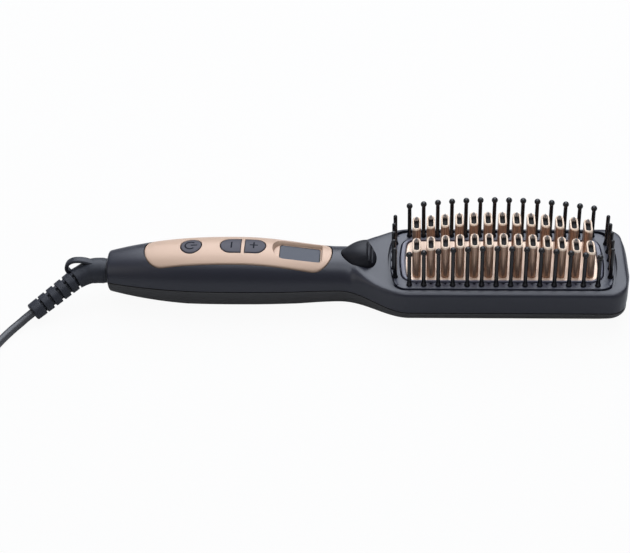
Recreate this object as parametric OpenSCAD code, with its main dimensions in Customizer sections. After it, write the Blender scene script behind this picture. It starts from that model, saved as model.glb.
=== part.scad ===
// Steam hair straightener brush, lying on its back with the bristles up.
// X runs from the cord end to the tip of the head, Z is up, and Z = 0 is what the brush lies on.

/* [Body] */
// Length from the flat butt of the handle to the tip of the head
body_len = 302; // [290:1:320]
// Width of the handle at its butt
butt_d = 22.3; // [21:0.1:25]
// Width of the handle where it is thickest
grip_d = 39; // [36.5:0.5:42]
// Distance from the butt to the thickest place
grip_at = 75; // [65:1:85]
// Width of the neck between handle and head
neck_d = 31.4; // [30:0.1:34]
// Distance from the butt to the neck
neck_at = 136; // [132:1:140]
// Width of the head at its parting line
head_w = 62; // [60:0.5:68]
// Distance from the butt to where the head has its full width
head_at = 176; // [170:1:182]
// Height of the flat top of the head
head_top = 27.6; // [27:0.1:29]
// Height of the parting line on the head
head_parting = 13.4; // [12.5:0.1:14.5]
// Corner radius of the head's tip, seen from above
tip_r = 10; // [6:0.5:13]
// How far the end of the head bows out
tip_bow = 2.8; // [1:0.1:4]
// Thickness of the housing walls
wall = 2; // [1.6:0.1:2.4]
// Gap along the parting line between the two housings
parting_gap = 0.2; // [0.1:0.05:0.4]

/* [Bristle field] */
// Distance between neighbouring pins in a long row
pin_pitch = 8.16; // [7.6:0.02:8.4]
// Number of pins in each long row
pin_count = 14; // [8:1:14]
// Distance from the middle line to each long row of pins
pin_row_y = 22.5; // [22:0.1:23]
// Height of the tallest pin above the bristle panel
pin_h = 26.8; // [22:0.2:30]
// How much lower the pins at the ends of a row are
pin_crown = 4.1; // [0:0.1:6]
// Diameter of a pin's shaft
pin_d = 2.3; // [1.8:0.1:2.6]
// Diameter of the ball on a pin
pin_ball_d = 3.6; // [3:0.1:3.9]
// Number of pins across each end
end_pin_count = 5; // [3:1:5]
// Distance between the pins across each end
end_pin_pitch = 7.6; // [6:0.1:8]
// Height of the end pins above the bristle panel
end_pin_h = 20; // [16:0.2:24]

/* [Heating] */
// Length of the heated plate
plate_len = 110; // [107:0.5:111]
// Width of the heated plate
plate_w = 36.4; // [35.6:0.1:36.8]
// Thickness of the heated plate
plate_t = 3; // [2.5:0.1:3.2]
// Height of the tallest hollow finger above the heated plate
finger_h = 22.2; // [18:0.2:26]
// Width of a finger along the head
finger_w = 4.9; // [4.2:0.1:5.2]
// Length of a finger across the head
finger_len = 12; // [9:0.2:12.4]
// Distance from the middle line to each row of fingers
finger_row_y = 9.9; // [9.2:0.1:10.4]
// Wall of a hollow finger
finger_wall = 0.9; // [0.7:0.1:1.1]
// Width of the raised bezel at the ends of the plate
bezel_w = 2.6; // [1.5:0.1:2.8]
// Width of the raised bezel along the sides of the plate
bezel_side = 1.2; // [0.8:0.1:1.4]
// Height of the bezel's lip above the bristle panel
bezel_rise = 0.6; // [0.2:0.1:1]

/* [Controls] */
// Length of the gold control panel
panel_len = 108; // [100:0.5:112]
// Width of the gold control panel
panel_w = 24.6; // [22:0.2:26]
// Thickness of the gold control panel
panel_t = 1.4; // [1:0.1:1.6]
// Distance from the butt to the middle of the power button
power_at = 50.3; // [46:0.1:53]
// Diameter of the power button
power_d = 11.8; // [10:0.1:12.4]
// Distance from the butt to the bar between minus and plus
rocker_at = 80.4; // [78:0.1:83]
// Length of minus and plus together
rocker_len = 26; // [24:0.2:28]
// Distance from the butt to the middle of the display
display_at = 113; // [111:0.1:115]
// Length of the display window
display_len = 22.4; // [18:0.2:24]
// Width of the display window
display_w = 15.6; // [12:0.2:16]
// How far the small buttons travel
key_travel = 0.6; // [0.3:0.1:0.8]
// How far the steam button travels
steam_travel = 3; // [2:0.1:3.4]
// Running gap round every button
key_gap = 0.3; // [0.2:0.05:0.5]

/* [Cord] */
// Diameter of the mains cord
cord_d = 5; // [4.6:0.1:5]
// Diameter of the turning sleeve at the butt
sleeve_d = 15.4; // [13:0.1:16]
// Radial clearance of the turning journal in its bush
swivel_fit = 0.05; // [0.03:0.01:0.1]
// Turns in each of the four layers of the coil
coil_turns = 2; // [1:0.5:3]
// Radius of the innermost turn of the coil
coil_r_in = 21.5; // [20:0.5:24]
// Distance between neighbouring turns
coil_pitch = 5.7; // [5.7:0.1:6.2]

/* [Hidden] */
e = 0.01;

// Stations along the body
x_butt = -body_len / 2;
x_tip = body_len / 2;
x_grip = x_butt + grip_at;
x_neck = x_butt + neck_at;
x_head = x_butt + head_at;
// Height of the handle's axis at the butt, the grip and the neck
axis_butt = 18.7;
axis_grip = grip_d / 2 - 0.9;
axis_neck = 16.8;
handle_round = 2.15;
head_top_round = 12;
head_back_round = 2.1;
// The head's wall leans in over this length at the tip, and its back rounds up over the next
tip_lean = 5;
back_rise = 21;
butt_wall = 3;

function ease(t) = t <= 0 ? 0 : t >= 1 ? 1 : t * t * (3 - 2 * t);
function mix(a, b, t) = a + (b - a) * t;

// Centre of the corner arc at the tip, inside the bowed end
tip_bow_half = head_w / 2 - tip_r;
tip_corner_x = x_tip - tip_bow - tip_r;
// Half the width at x: swelling grip, narrow neck, wide head, rounded and bowed tip
function half_w(x) =
    x <= x_grip ? mix(butt_d, grip_d, 1 - pow(1 - (x - x_butt) / grip_at, 2.3)) / 2
    : x <= x_neck ? mix(grip_d, neck_d, ease(pow((x - x_grip) / (x_neck - x_grip), 1.25))) / 2
    : x <= x_head ? mix(neck_d, head_w, ease((x - x_neck) / (x_head - x_neck))) / 2
    : x <= tip_corner_x ? head_w / 2
    : x <= x_tip - tip_bow
        ? tip_bow_half + sqrt(max(0, pow(tip_r, 2) - pow(x - tip_corner_x, 2)))
    : tip_bow_half * sqrt(max(0, (x_tip - x) / tip_bow));
// Height of the parting line at x
function parting(x) =
    x <= x_grip ? mix(axis_butt, axis_grip, ease((x - x_butt) / grip_at))
    : x <= x_neck ? mix(axis_grip, axis_neck, ease((x - x_grip) / (x_neck - x_grip)))
    : mix(axis_neck, head_parting, ease((x - x_neck) / (x_head - x_neck)));
// Height of the top: round over the handle, falling to the flat head, leaning in at the tip
function top(x) =
    x <= x_neck ? parting(x) + half_w(x)
    : x <= x_tip - tip_lean ? mix(axis_neck + neck_d / 2, head_top, ease((x - x_neck) / 26))
    : head_parting + (head_top - head_parting)
        * pow(max(0, 1 - pow((x - x_tip + tip_lean) / tip_lean, 3)), 1 / 3);
// Height of the bottom, cut flat where the brush lies
function bottom(x) =
    x <= x_neck ? max(0, parting(x) - half_w(x))
    : x <= x_tip - back_rise ? max(0, mix(axis_neck - neck_d / 2, 0, ease((x - x_neck) / 30)))
    : head_parting * (1 - pow(max(0, 1 - pow((x - x_tip + back_rise) / back_rise, 2.5)), 0.4));
// Squareness of the section above and below the parting line
function top_round(x) = mix(handle_round, head_top_round, ease((x - x_neck - 6) / 24));
function back_round(x) = mix(handle_round, head_back_round, ease((x - x_neck) / 30));

// A half section is an arc of a superellipse over the parting line, inset by w. An inset section
// runs on past the parting line by seam_over, the cover's own section stops short of it.
seam_over = 1.2;
function seam(w, up) = parting_shift(w, up) * up;
function parting_shift(w, up) = w != 0 ? -seam_over : up > 0 ? 0 : parting_gap;
function arc_y(a, n) = cos(a) == 0 ? 0 : sign(cos(a)) * pow(abs(cos(a)), 2 / n);
function arc_z(a, n) = pow(max(0, sin(a)), 2 / n);
function section(x, w, up, steps) =
    let (half = max(0.6, min(half_w(x), half_w(min(x_tip, x + w))) - w),
        rise = up > 0 ? min(top(x), top(min(x_tip, x + w))) - w - parting(x)
            : parting(x) - w - max(bottom(x), bottom(min(x_tip, x + w))),
        n = up > 0 ? top_round(x) : back_round(x))
    [for (i = [0:steps]) let (a = 180 * i / steps)
        [x, half * arc_y(a, n), parting(x) + (i == 0 || i == steps ? seam(w, up)
            : up * max(0.4, rise) * arc_z(a, n))]];

// Stations: close together where the outline turns quickly
function stations(w) = let (x0 = x_butt + (w > 0 ? butt_wall : 0))
    concat([for (t = [0, 0.07, 0.18, 0.32, 0.5, 0.72]) mix(x0, x_grip, t)],
        [for (t = [0:0.2:0.8]) mix(x_grip, x_neck, t)],
        [for (t = [0:0.125:0.99]) mix(x_neck, x_head, t)],
        [x_head, mix(x_head, tip_corner_x, 0.5), x_tip - back_rise],
        [for (t = [0, 0.35, 0.65, 0.85, 1]) mix(tip_corner_x, x_tip - tip_bow - w, t)],
        [for (t = [0.4, 0.72, 0.92]) x_tip - w - tip_bow * (1 - t)],
        [x_tip - w - 0.03]);

// A closed solid through rings of equal length, the first and last ring capped
module loft(rings) {
    count = len(rings[0]);
    points = [for (ring = rings) each ring];
    sides = [for (i = [0:len(rings) - 2], j = [0:count - 1])
        let (k = (j + 1) % count, a = i * count + j, b = i * count + k)
        each [[a, b, a + count], [b, b + count, a + count]]];
    first = [for (j = [count - 1:-1:0]) j];
    last = [for (j = [0:count - 1]) (len(rings) - 1) * count + j];
    polyhedron(points, concat(sides, [first, last]));
}

// Half of the body above (up = 1) or below (up = -1) the parting line, inset by w
module half_body(w, up) {
    shell(stations(w), w, up);
}
// A stretch of the upper half over the grip, from x0 to x1
module crown_patch(x0, x1, w) {
    cuts = ceil((x1 - x0) / 12);
    shell([for (i = [0:cuts]) mix(x0, x1, i / cuts)], w, 1);
}
module shell(xs, w, up) {
    rings = [for (x = xs) section(x, w, up, 12)];
    if (up > 0) loft([for (ring = rings) [for (i = [len(ring) - 1:-1:0]) ring[i]]]);
    else loft(rings);
}

// Outline of a pad: rounded corners and gently bowed ends
function pad(cx, hx, hy, r, bow) = let (ix = hx - bow - r, iy = hy - r)
    concat([for (a = [0:15:90]) [cx + ix + r * cos(a), iy + r * sin(a)]],
        [for (a = [90:15:180]) [cx - ix + r * cos(a), iy + r * sin(a)]],
        [for (t = [0.6, 0.2, -0.2, -0.6]) [cx - hx + bow * t * t, iy * t]],
        [for (a = [180:15:270]) [cx - ix + r * cos(a), -iy + r * sin(a)]],
        [for (a = [270:15:360]) [cx + ix + r * cos(a), -iy + r * sin(a)]],
        [for (t = [-0.6, -0.2, 0.2, 0.6]) [cx + hx - bow * t * t, iy * t]]);
module slab(points, z0, z1) {
    translate([0, 0, z0]) linear_extrude(z1 - z0) polygon(points);
}
module rod(r, z0, z1) {
    translate([0, 0, z0]) cylinder(r = r, h = z1 - z0, $fn = 48);
}
module rod_x(r, x0, x1, y, z) {
    translate([x0, y, z]) rotate([0, 90, 0]) cylinder(r = r, h = x1 - x0, $fn = 48);
}

// Bristle field
field_x = x_butt + 229.2;
field_half = pin_pitch * 6.5;
deck_top = head_top - 0.3;
deck_t = 2;
deck_x0 = x_butt + 164;
deck_x1 = x_tip - 7.6;
deck_mid = (deck_x0 + deck_x1) / 2;
deck_half = (deck_x1 - deck_x0) / 2;
deck_half_w = head_w / 2 - 4;
deck_gap = 0.3;
deck_ledge = 2.4;
ledge_t = 2;
pin_tilt = 0.8;
function pin_x(i) = field_x + (i - (pin_count - 1) / 2) * pin_pitch;
function crown(x) = pin_crown * pow((x - field_x) / field_half, 2)
    + pin_tilt * (x - field_x) / field_half;
end_column_x = [deck_x0 + 4, deck_x1 - 4.6];
end_bow = 0.8;

// Heated stack, from the posts of the back cover up to the plate
plate_x = field_x - 0.4;
plate_top = deck_top - 0.3;
plate_z = plate_top - plate_t;
plate_r = 5;
plate_bow = 0.8;
bezel_gap = 0.15;
bezel_out_x = plate_len / 2 + bezel_gap + bezel_w;
bezel_out_y = plate_w / 2 + bezel_gap + bezel_side;
flange_t = 1.5;
chamber_z = 15;
chamber_wall = 2;
chamber_half_len = plate_len / 2 - 2;
chamber_half_w = plate_w / 2 - 1;
element_t = 3;
clamp_t = 1;
pad_t = 2;
clamp_top = chamber_z - element_t;
pad_top = clamp_top - clamp_t;
pad_bottom = pad_top - pad_t;
stack_half_len = 46;
stack_half_w = 15;
post_x = 36;
post_y = 10;

// Controls
panel_x = x_butt + 23.6 + panel_len / 2;
panel_r = 9;
panel_bow = 1.2;
panel_groove = 0.35;
panel_seat = 0.05;
window_ledge = 1.2;
power_x = x_butt + power_at;
rocker_x = x_butt + rocker_at;
rocker_bar = 1.7;
display_x = x_butt + display_at;
key_proud = 0.3;
key_flange_t = 1;
key_flange = 1;
board_top = 27.2;
board_t = 1.6;
board_x0 = x_butt + 40;
board_x1 = x_butt + 129;
board_half_w = 9;
board_post_x = [board_x0 + 3.5, board_x1 - 3];
board_post_y = 6;
board_post_r = 2.4;
board_screw_r = 1;
// The flange of a key lies just under the curved ceiling at its own edge
function ceiling(x, y) = parting(x) + (top(x) - wall - parting(x))
    * pow(1 - pow(abs(y) / (half_w(x) - wall), handle_round), 1 / handle_round);
function key_reach(x) = key_flange + (x == power_x ? power_d : rocker_len) / 2;
function key_flange_top(x) = min([for (d = [-1, 1])
    ceiling(x + d * key_reach(x), power_d / 2 + key_flange)]) - key_gap;
switch_size = 6;
switch_h = 2;

// Steam button and its pump
steam_x0 = x_butt + 137;
steam_x1 = x_butt + 157;
steam_ridge_x = x_butt + 151.5;
steam_half_w = 9.3;
steam_crest = 38;
steam_flange_z = 24.6;
steam_flange_t = 1.2;
steam_flange = 0.6;
steam_skirt_z = 27;
pump_x = steam_ridge_x - 3.5;
pump_r = 6;
pump_bore_r = 4.5;
pump_z = 4.6;
pump_top = 17;
pump_floor = 7;
piston_z = 10.6;
piston_t = 2.4;
piston_rod_r = 1.6;
piston_fit = 0.06;
nozzle_r = 1.4;
nozzle_len = 4;
inlet_z = 9.4;
outlet_z = 13;
tube_r = 2;

// Water tank in the belly of the grip
tank_x0 = x_butt + 52;
tank_x1 = x_butt + 112;
tank_top = 21;
tank_wall = 1.4;
tank_gap = 0.3;
plug_x = x_butt + 62;
filler_r = 3.5;
filler_lip_r = 5;
filler_lip_t = 1;
filler_sink = 0.4;
filler_gap = 0.15;

// Swivel
swivel_r = 5.5;
bush_r = 8.2;
bush_flange_r = 9;
bush_flange_t = 1.5;
bush_end = x_butt + 8;
keeper_r = 7.2;
keeper_t = 2;
axial_gap = 0.25;
elbow_x = x_butt - 13.5;

// Screws of the housing: one at the butt, two in the neck, four in the head
screw_r = 1.4;
screw_head_r = 2.6;
screw_head_t = 1.8;
screw_post_r = 3.2;
screw_sites = [[x_butt + 22, 0], [x_butt + 133.2, -8.4], [x_butt + 133.2, 8.4],
    [x_butt + 159.5, -15], [x_butt + 159.5, 15], [x_tip - 7.5, -14], [x_tip - 7.5, 14]];
screw_gap = 0.1;

// Cord: points on its centreline, from the guard to the coil and from the coil to the plug
guard_end = [-193.3, -23.5, 6.2];
guard_path = [[x_butt - 0.3, 0, axis_butt], [x_butt - 9, 0, axis_butt],
    [elbow_x - 1, -1.2, axis_butt - 0.6], [elbow_x - 5.5, -5, axis_butt - 2.6]];
cord_points = [guard_end, [-197, -26.5, 4.6], [-200.6, -30.4, 3.3], [-203.8, -34.8, 2.8],
    [-207, -40.4, 2.6], [-209.8, -46.2, 2.6], [-212, -52, 2.6], [-213.3, -56.6, 2.6],
    [-213.6, -59.5, 2.6], [-213.6, -62.5, 2.6]];
coil_layer_h = 5.5;
coil_z = 2.6;
coil_start = cord_points[len(cord_points) - 1];

// ---- Housings ----

module screw_well(p, up) {
    translate([p[0], p[1], 0]) {
        if (up) rod(screw_r + screw_gap, 0, parting(p[0]) + 8);
        else {
            rod(screw_r + screw_gap, 0, parting(p[0]) + 1);
            rod(screw_head_r + screw_gap, -1, screw_seat(p));
        }
    }
}
// Height where the bosses of the two housings meet
function boss_meet(p) = parting(p[0]) - parting_gap - 0.8;
// Height of the ledge that a screw's head bears on
function screw_seat(p) = screw_head_t + 0.4
    + max([for (d = [-1, 1]) belly(p[0] + d * screw_head_r, abs(p[1]) + screw_head_r)]);
// Height of the cover's outer skin at a place
function belly(x, y) = parting(x) - (parting(x) - bottom(x))
    * pow(1 - pow(abs(y) / half_w(x), back_round(x)), 1 / back_round(x));

module upper_housing() {
    color([0.17, 0.17, 0.20])
    difference() {
        union() {
            difference() {
                half_body(0, 1);
                half_body(wall, 1);
            }
            // Ledge that carries the bristle panel
            difference() {
                slab(pad(deck_mid, deck_half + 1.6, deck_half_w + 1.6, 9, 2.4),
                    deck_top - deck_t - ledge_t, head_top - wall + 0.4);
                slab(pad(deck_mid, deck_half - deck_ledge, deck_half_w - deck_ledge, 6, 2.4),
                    deck_top - deck_t - 3, deck_top);
            }
            // Bosses that the housing screws bite into
            intersection() {
                half_body(wall / 2, 1);
                union() for (p = screw_sites)
                    translate([p[0], p[1], 0]) rod(screw_post_r, boss_meet(p), 60);
            }
        }
        for (p = screw_sites) screw_well(p, true);
        slab(pad(deck_mid, deck_half + deck_gap, deck_half_w + deck_gap, 8, 2.4),
            deck_top - deck_t, head_top + 10);
        slab(pad(deck_mid, deck_half - deck_ledge, deck_half_w - deck_ledge, 6, 2.4),
            deck_top - deck_t - ledge_t - 1, head_top);
        panel_recess();
        for (x = [power_x, rocker_x]) key_hole(x, panel_groove);
        slab(pad(display_x, display_len / 2 - window_ledge, display_w / 2 - window_ledge, 2, 0),
            board_top, 60);
        slab(teardrop(key_gap), axis_neck + 2, 60);
        rod_x(bush_r, x_butt - 1, x_butt + butt_wall + 1, 0, axis_butt);
    }
}

module back_cover() {
    color([0.21, 0.21, 0.23])
    difference() {
        union() {
            difference() {
                half_body(0, -1);
                half_body(wall, -1);
            }
            intersection() {
                half_body(wall / 2, -1);
                union() {
                    for (p = screw_sites)
                        translate([p[0], p[1], 0]) rod(screw_post_r, 0, boss_meet(p));
                    // Boss under the pump
                    translate([pump_x, 0, 0]) rod(pump_r + 1, 0, pump_z);
                    // Posts under the heated stack
                    for (x = [-post_x, post_x], y = [-post_y, post_y])
                        translate([plate_x + x, y, 0]) rod(3, 0, pad_bottom);
                }
            }
            // Posts that carry the control board
            for (x = board_post_x, y = [-board_post_y, board_post_y])
                translate([x, y, 0]) rod(board_post_r, bottom(x) + 2.2, board_top - board_t);
        }
        for (p = screw_sites) screw_well(p, false);
        for (x = board_post_x, y = [-board_post_y, board_post_y])
            translate([x, y, 0]) rod(board_screw_r + 0.05, board_top - board_t - 6, board_top);
        translate([plug_x, 0, 0]) {
            rod(filler_r + filler_gap, -1, 6);
            rod(filler_lip_r + filler_gap, -1, filler_sink + filler_lip_t);
        }
        rod_x(bush_r, x_butt - 1, x_butt + butt_wall + 1, 0, axis_butt);
    }
}
// ---- Controls ----

module panel_recess() {
    intersection() {
        panel_skin(-2, panel_t);
        slab(pad(panel_x, panel_len / 2 + panel_groove, panel_w / 2 + panel_groove,
            panel_r + panel_groove, panel_bow), axis_grip, 60);
    }
}
// The skin of the grip between two depths
module panel_skin(w0, w1) {
    reach = panel_len / 2 + 4;
    difference() {
        crown_patch(panel_x - reach, panel_x + reach, w0);
        crown_patch(panel_x - reach - 1, panel_x + reach + 1, w1);
    }
}
module key_outline(x, grow) {
    if (x == power_x) translate([x, 0]) circle(r = power_d / 2 + grow, $fn = 64);
    else {
        reach = rocker_len / 2 - power_d / 2;
        square_half = power_d / 2 + grow;
        for (s = [-1, 1]) translate([x + s * reach, 0]) circle(r = square_half, $fn = 64);
        translate([x - reach, -square_half]) square([2 * reach, 2 * square_half]);
    }
}
module key_hole(x, grow) {
    translate([0, 0, board_top]) linear_extrude(30) key_outline(x, grow);
}
module control_panel() {
    color([0.86, 0.74, 0.66])
    difference() {
        intersection() {
            panel_skin(0, panel_t - panel_seat);
            slab(pad(panel_x, panel_len / 2, panel_w / 2, panel_r, panel_bow), axis_grip, 60);
        }
        key_hole(power_x, key_gap);
        difference() {
            key_hole(rocker_x, key_gap);
            translate([rocker_x - rocker_bar / 2, -20, 0]) cube([rocker_bar, 40, 60]);
        }
        slab(pad(display_x, display_len / 2 + 0.2, display_w / 2 + 0.2, 2, 0), board_top, 60);
    }
}
// A key: a cap that follows the handle's crown, on a flange that the housing holds down
module key(x, x0, x1) {
    flange_top = key_flange_top(x);
    intersection() {
        crown_patch(x0, x1, -key_proud);
        translate([x0, -20, flange_top - e]) cube([x1 - x0, 40, 30]);
        translate([0, 0, flange_top - e]) linear_extrude(30) key_outline(x, 0);
    }
    intersection() {
        translate([0, 0, flange_top - key_flange_t]) linear_extrude(key_flange_t)
            key_outline(x, key_flange);
        translate([x0, -20, 0]) cube([x1 - x0, 40, 60]);
    }
}
module power_button() {
    color([0.38, 0.40, 0.44]) key(power_x, power_x - 8, power_x + 8);
}
module minus_button() {
    color([0.38, 0.40, 0.44])
        key(rocker_x, rocker_x - 16, rocker_x - rocker_bar / 2 - key_gap);
}
module plus_button() {
    color([0.38, 0.40, 0.44])
        key(rocker_x, rocker_x + rocker_bar / 2 + key_gap, rocker_x + 16);
}
module display_window() {
    reach = display_len / 2 + 1;
    color([0.42, 0.44, 0.50])
    intersection() {
        difference() {
            crown_patch(display_x - reach, display_x + reach, 0.3);
            crown_patch(display_x - reach - 1, display_x + reach + 1, panel_t - panel_seat);
        }
        slab(pad(display_x, display_len / 2, display_w / 2, 1.8, 0), axis_grip, 60);
    }
}
module display_module() {
    h = ceiling(display_x + display_len / 2 - 1, display_w / 2 - 1.4) - 0.6;
    color([0.15, 0.16, 0.18])
        slab(pad(display_x, display_len / 2 - 1, display_w / 2 - 1.6, 1, 0), board_top, h);
}
module control_board() {
    color([0.10, 0.35, 0.20])
    difference() {
        translate([board_x0, -board_half_w, board_top - board_t])
            cube([board_x1 - board_x0, 2 * board_half_w, board_t]);
        for (x = board_post_x, y = [-board_post_y, board_post_y])
            translate([x, y, 0]) rod(board_screw_r + 0.1, 0, 60);
    }
}
key_sites = [power_x, rocker_x - rocker_len / 4 - 0.5, rocker_x + rocker_len / 4 + 0.5];
module tact_switches() {
    color([0.75, 0.75, 0.78])
    for (i = [0:2]) {
        x = key_sites[i];
        under = key_flange_top(i == 0 ? power_x : rocker_x) - key_flange_t;
        translate([x - switch_size / 2, -switch_size / 2, board_top])
            cube([switch_size, switch_size, switch_h]);
        translate([x, 0, 0]) rod(1.6, board_top + switch_h - e, under - key_travel - 0.1);
    }
}
module board_screws() {
    color([0.75, 0.75, 0.78])
    for (x = board_post_x, y = [-board_post_y, board_post_y]) translate([x, y, 0]) {
        rod(board_screw_r, board_top - board_t - 5, board_top + e);
        rod(2, board_top, board_top + 1.2);
    }
}

// ---- Steam button, pump and tank ----

// Half width of the teardrop at x: pointed at the handle, round at the head
function tear_half(x, grow) = let (a = steam_x0 - grow, b = steam_x1 + grow,
    m = steam_ridge_x, h = steam_half_w + grow)
    x <= m ? h * pow(max(0, sin(90 * (x - a) / (m - a))), 0.72)
    : h * sqrt(max(0, 1 - pow((x - m) / (b - m), 2)));
function tear_stations(grow) = concat(
    [for (t = [0, 0.02, 0.07, 0.16, 0.3, 0.48, 0.7]) mix(steam_x0 - grow, steam_ridge_x, t)],
    [for (a = [0:18:90]) steam_ridge_x + (steam_x1 + grow - steam_ridge_x) * sin(a)]);
function teardrop(grow) = let (xs = tear_stations(grow), n = len(xs))
    concat([for (i = [0:n - 1]) [xs[i], -tear_half(xs[i], grow)]],
        [for (i = [n - 2:-1:1]) [xs[i], tear_half(xs[i], grow)]]);
// The thumb face climbs to a ridge, and falls steeply on the head's side
function steam_crest_at(x) = x <= steam_ridge_x
    ? mix(top(steam_x0) - 0.2, steam_crest, sin(90 * (x - steam_x0) / (steam_ridge_x - steam_x0)))
    : mix(steam_crest, top(steam_x1) - 0.4,
        pow((x - steam_ridge_x) / (steam_x1 - steam_ridge_x), 1.3));

module steam_button() {
    rings = [for (x = tear_stations(0)) let (h = max(0.15, tear_half(x, 0)))
        concat([[x, -h, steam_skirt_z], [x, h, steam_skirt_z]],
            [for (i = [0:12]) let (a = 15 * i)
                [x, h * arc_y(a, 2.3), steam_skirt_z + 0.5
                    + (steam_crest_at(x) - steam_skirt_z - 0.5) * arc_z(a, 2.3)]])];
    color([0.11, 0.11, 0.12]) {
        loft([for (ring = rings) [for (i = [len(ring) - 1:-1:0]) ring[i]]]);
        slab(teardrop(-0.1), steam_flange_z + steam_flange_t - e, steam_skirt_z + e);
        slab(teardrop(steam_flange), steam_flange_z, steam_flange_z + steam_flange_t);
    }
}
module steam_spring() {
    color([0.7, 0.7, 0.72]) translate([pump_x, 0, 0]) difference() {
        rod(pump_r - 0.2, pump_top, steam_flange_z);
        rod(pump_bore_r + 0.3, pump_top - 1, steam_flange_z + 1);
    }
}
module pump_cylinder() {
    color([0.85, 0.86, 0.88]) difference() {
        union() {
            translate([pump_x, 0, 0]) rod(pump_r, pump_z, pump_top);
            rod_x(nozzle_r, pump_x - pump_r - nozzle_len, pump_x - pump_bore_r - 0.4, 0, inlet_z);
            rod_x(nozzle_r, pump_x + pump_bore_r + 0.4, pump_x + pump_r + nozzle_len, 0, outlet_z);
        }
        translate([pump_x, 0, 0]) rod(pump_bore_r, pump_floor, pump_top + 1);
    }
}
module pump_piston() {
    color([0.3, 0.3, 0.32]) translate([pump_x, 0, 0]) {
        rod(pump_bore_r - piston_fit, piston_z, piston_z + piston_t);
        rod(piston_rod_r, piston_z + piston_t - e, steam_flange_z);
    }
}
module water_tank() {
    color([0.62, 0.72, 0.78]) difference() {
        intersection() {
            tank_body(wall + tank_gap);
            translate([tank_x0, -30, -1]) cube([tank_x1 - tank_x0, 60, tank_top + 1]);
        }
        intersection() {
            tank_body(wall + tank_gap + tank_wall);
            translate([tank_x0 + tank_wall, -30, -1])
                cube([tank_x1 - tank_x0 - 2 * tank_wall, 60, tank_top + 1 - tank_wall]);
        }
        translate([plug_x, 0, 0]) rod(filler_r + filler_gap, -1, 8);
        rod_x(nozzle_r, tank_x1 - 5, tank_x1 + 1, 0, inlet_z);
    }
}
// The space inside the grip, whole above and below the parting line
module tank_body(w) {
    loft([for (x = [tank_x0 - 4, mix(tank_x0, tank_x1, 0.25), mix(tank_x0, tank_x1, 0.5),
            mix(tank_x0, tank_x1, 0.75), tank_x1 + 2])
        let (r = half_w(x) - w, zb = max(bottom(x) + w, parting(x) - r))
        [for (a = [360:-20:20]) [x, r * cos(a) * 0.985,
            a <= 180 ? parting(x) + r * sin(a) : parting(x) + (parting(x) - zb) * sin(a)]]]);
}
module tank_plug() {
    color([0.10, 0.10, 0.11]) translate([plug_x, 0, 0]) {
        rod(filler_r, filler_sink, bottom(plug_x) + wall + tank_gap + tank_wall + 1);
        rod(filler_lip_r, filler_sink, filler_sink + filler_lip_t - 0.1);
    }
}
module water_tubes() {
    color([0.8, 0.82, 0.82]) {
        rod_x(tube_r, tank_x1, pump_x - pump_r - nozzle_len, 0, inlet_z);
        riser = route([[pump_x + pump_r + nozzle_len, 0, outlet_z],
            [pump_x + pump_r + nozzle_len + 1, 0, outlet_z],
            [pump_x + pump_r + nozzle_len + 3, 0, outlet_z],
            [chamber_x0 - nozzle_len - 3, 0, chamber_inlet_z],
            [chamber_x0 - nozzle_len - 1, 0, chamber_inlet_z],
            [chamber_x0 - nozzle_len, 0, chamber_inlet_z]]);
        tube(riser, [for (q = riser) tube_r], 10);
    }
}

// ---- Heated head ----

chamber_x0 = plate_x - chamber_half_len;
chamber_inlet_z = 19;
module steam_chamber() {
    color([0.72, 0.72, 0.74]) {
        difference() {
            union() {
                slab(pad(plate_x, chamber_half_len, chamber_half_w, 5, 0.5),
                    chamber_z, plate_z - flange_t + e);
                slab(pad(plate_x, bezel_out_x, bezel_out_y - bezel_gap, plate_r + bezel_w,
                    plate_bow), plate_z - flange_t, plate_z);
            }
            slab(pad(plate_x, chamber_half_len - chamber_wall, chamber_half_w - chamber_wall,
                3, 0.5), chamber_z + chamber_wall, plate_z + 1);
        }
        rod_x(nozzle_r, chamber_x0 - nozzle_len, chamber_x0 + 1, 0, chamber_inlet_z);
    }
}
module heater_plate() {
    color([0.90, 0.78, 0.68])
        slab(pad(plate_x, plate_len / 2, plate_w / 2, plate_r, plate_bow), plate_z, plate_top);
}
module plate_bezel() {
    color([0.30, 0.31, 0.36]) difference() {
        slab(pad(plate_x, bezel_out_x, bezel_out_y, plate_r + bezel_w, plate_bow),
            plate_z, deck_top + bezel_rise);
        slab(pad(plate_x, plate_len / 2 + bezel_gap, plate_w / 2 + bezel_gap,
            plate_r + bezel_gap, plate_bow), plate_z - 1, deck_top + 5);
    }
}
module stadium(w, len, shrink) {
    r = w / 2 - shrink;
    reach = (len - w) / 2;
    for (s = [-1, 1]) translate([0, s * reach]) circle(r = r, $fn = 32);
    translate([-r, -reach]) square([2 * r, 2 * reach]);
}
finger_count = pin_count - 1;
function finger_x(i) = field_x + (i - (finger_count - 1) / 2) * pin_pitch;
function finger_top(i) = plate_top + finger_h - crown(finger_x(i));
tip_gap = 0.15;
module finger_row(y) {
    for (i = [0:finger_count - 1]) translate([finger_x(i), y, plate_top])
        difference() {
            linear_extrude(finger_top(i) - plate_top) stadium(finger_w, finger_len, 0);
            translate([0, 0, -1]) linear_extrude(60) stadium(finger_w, finger_len, finger_wall);
        }
}
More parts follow.
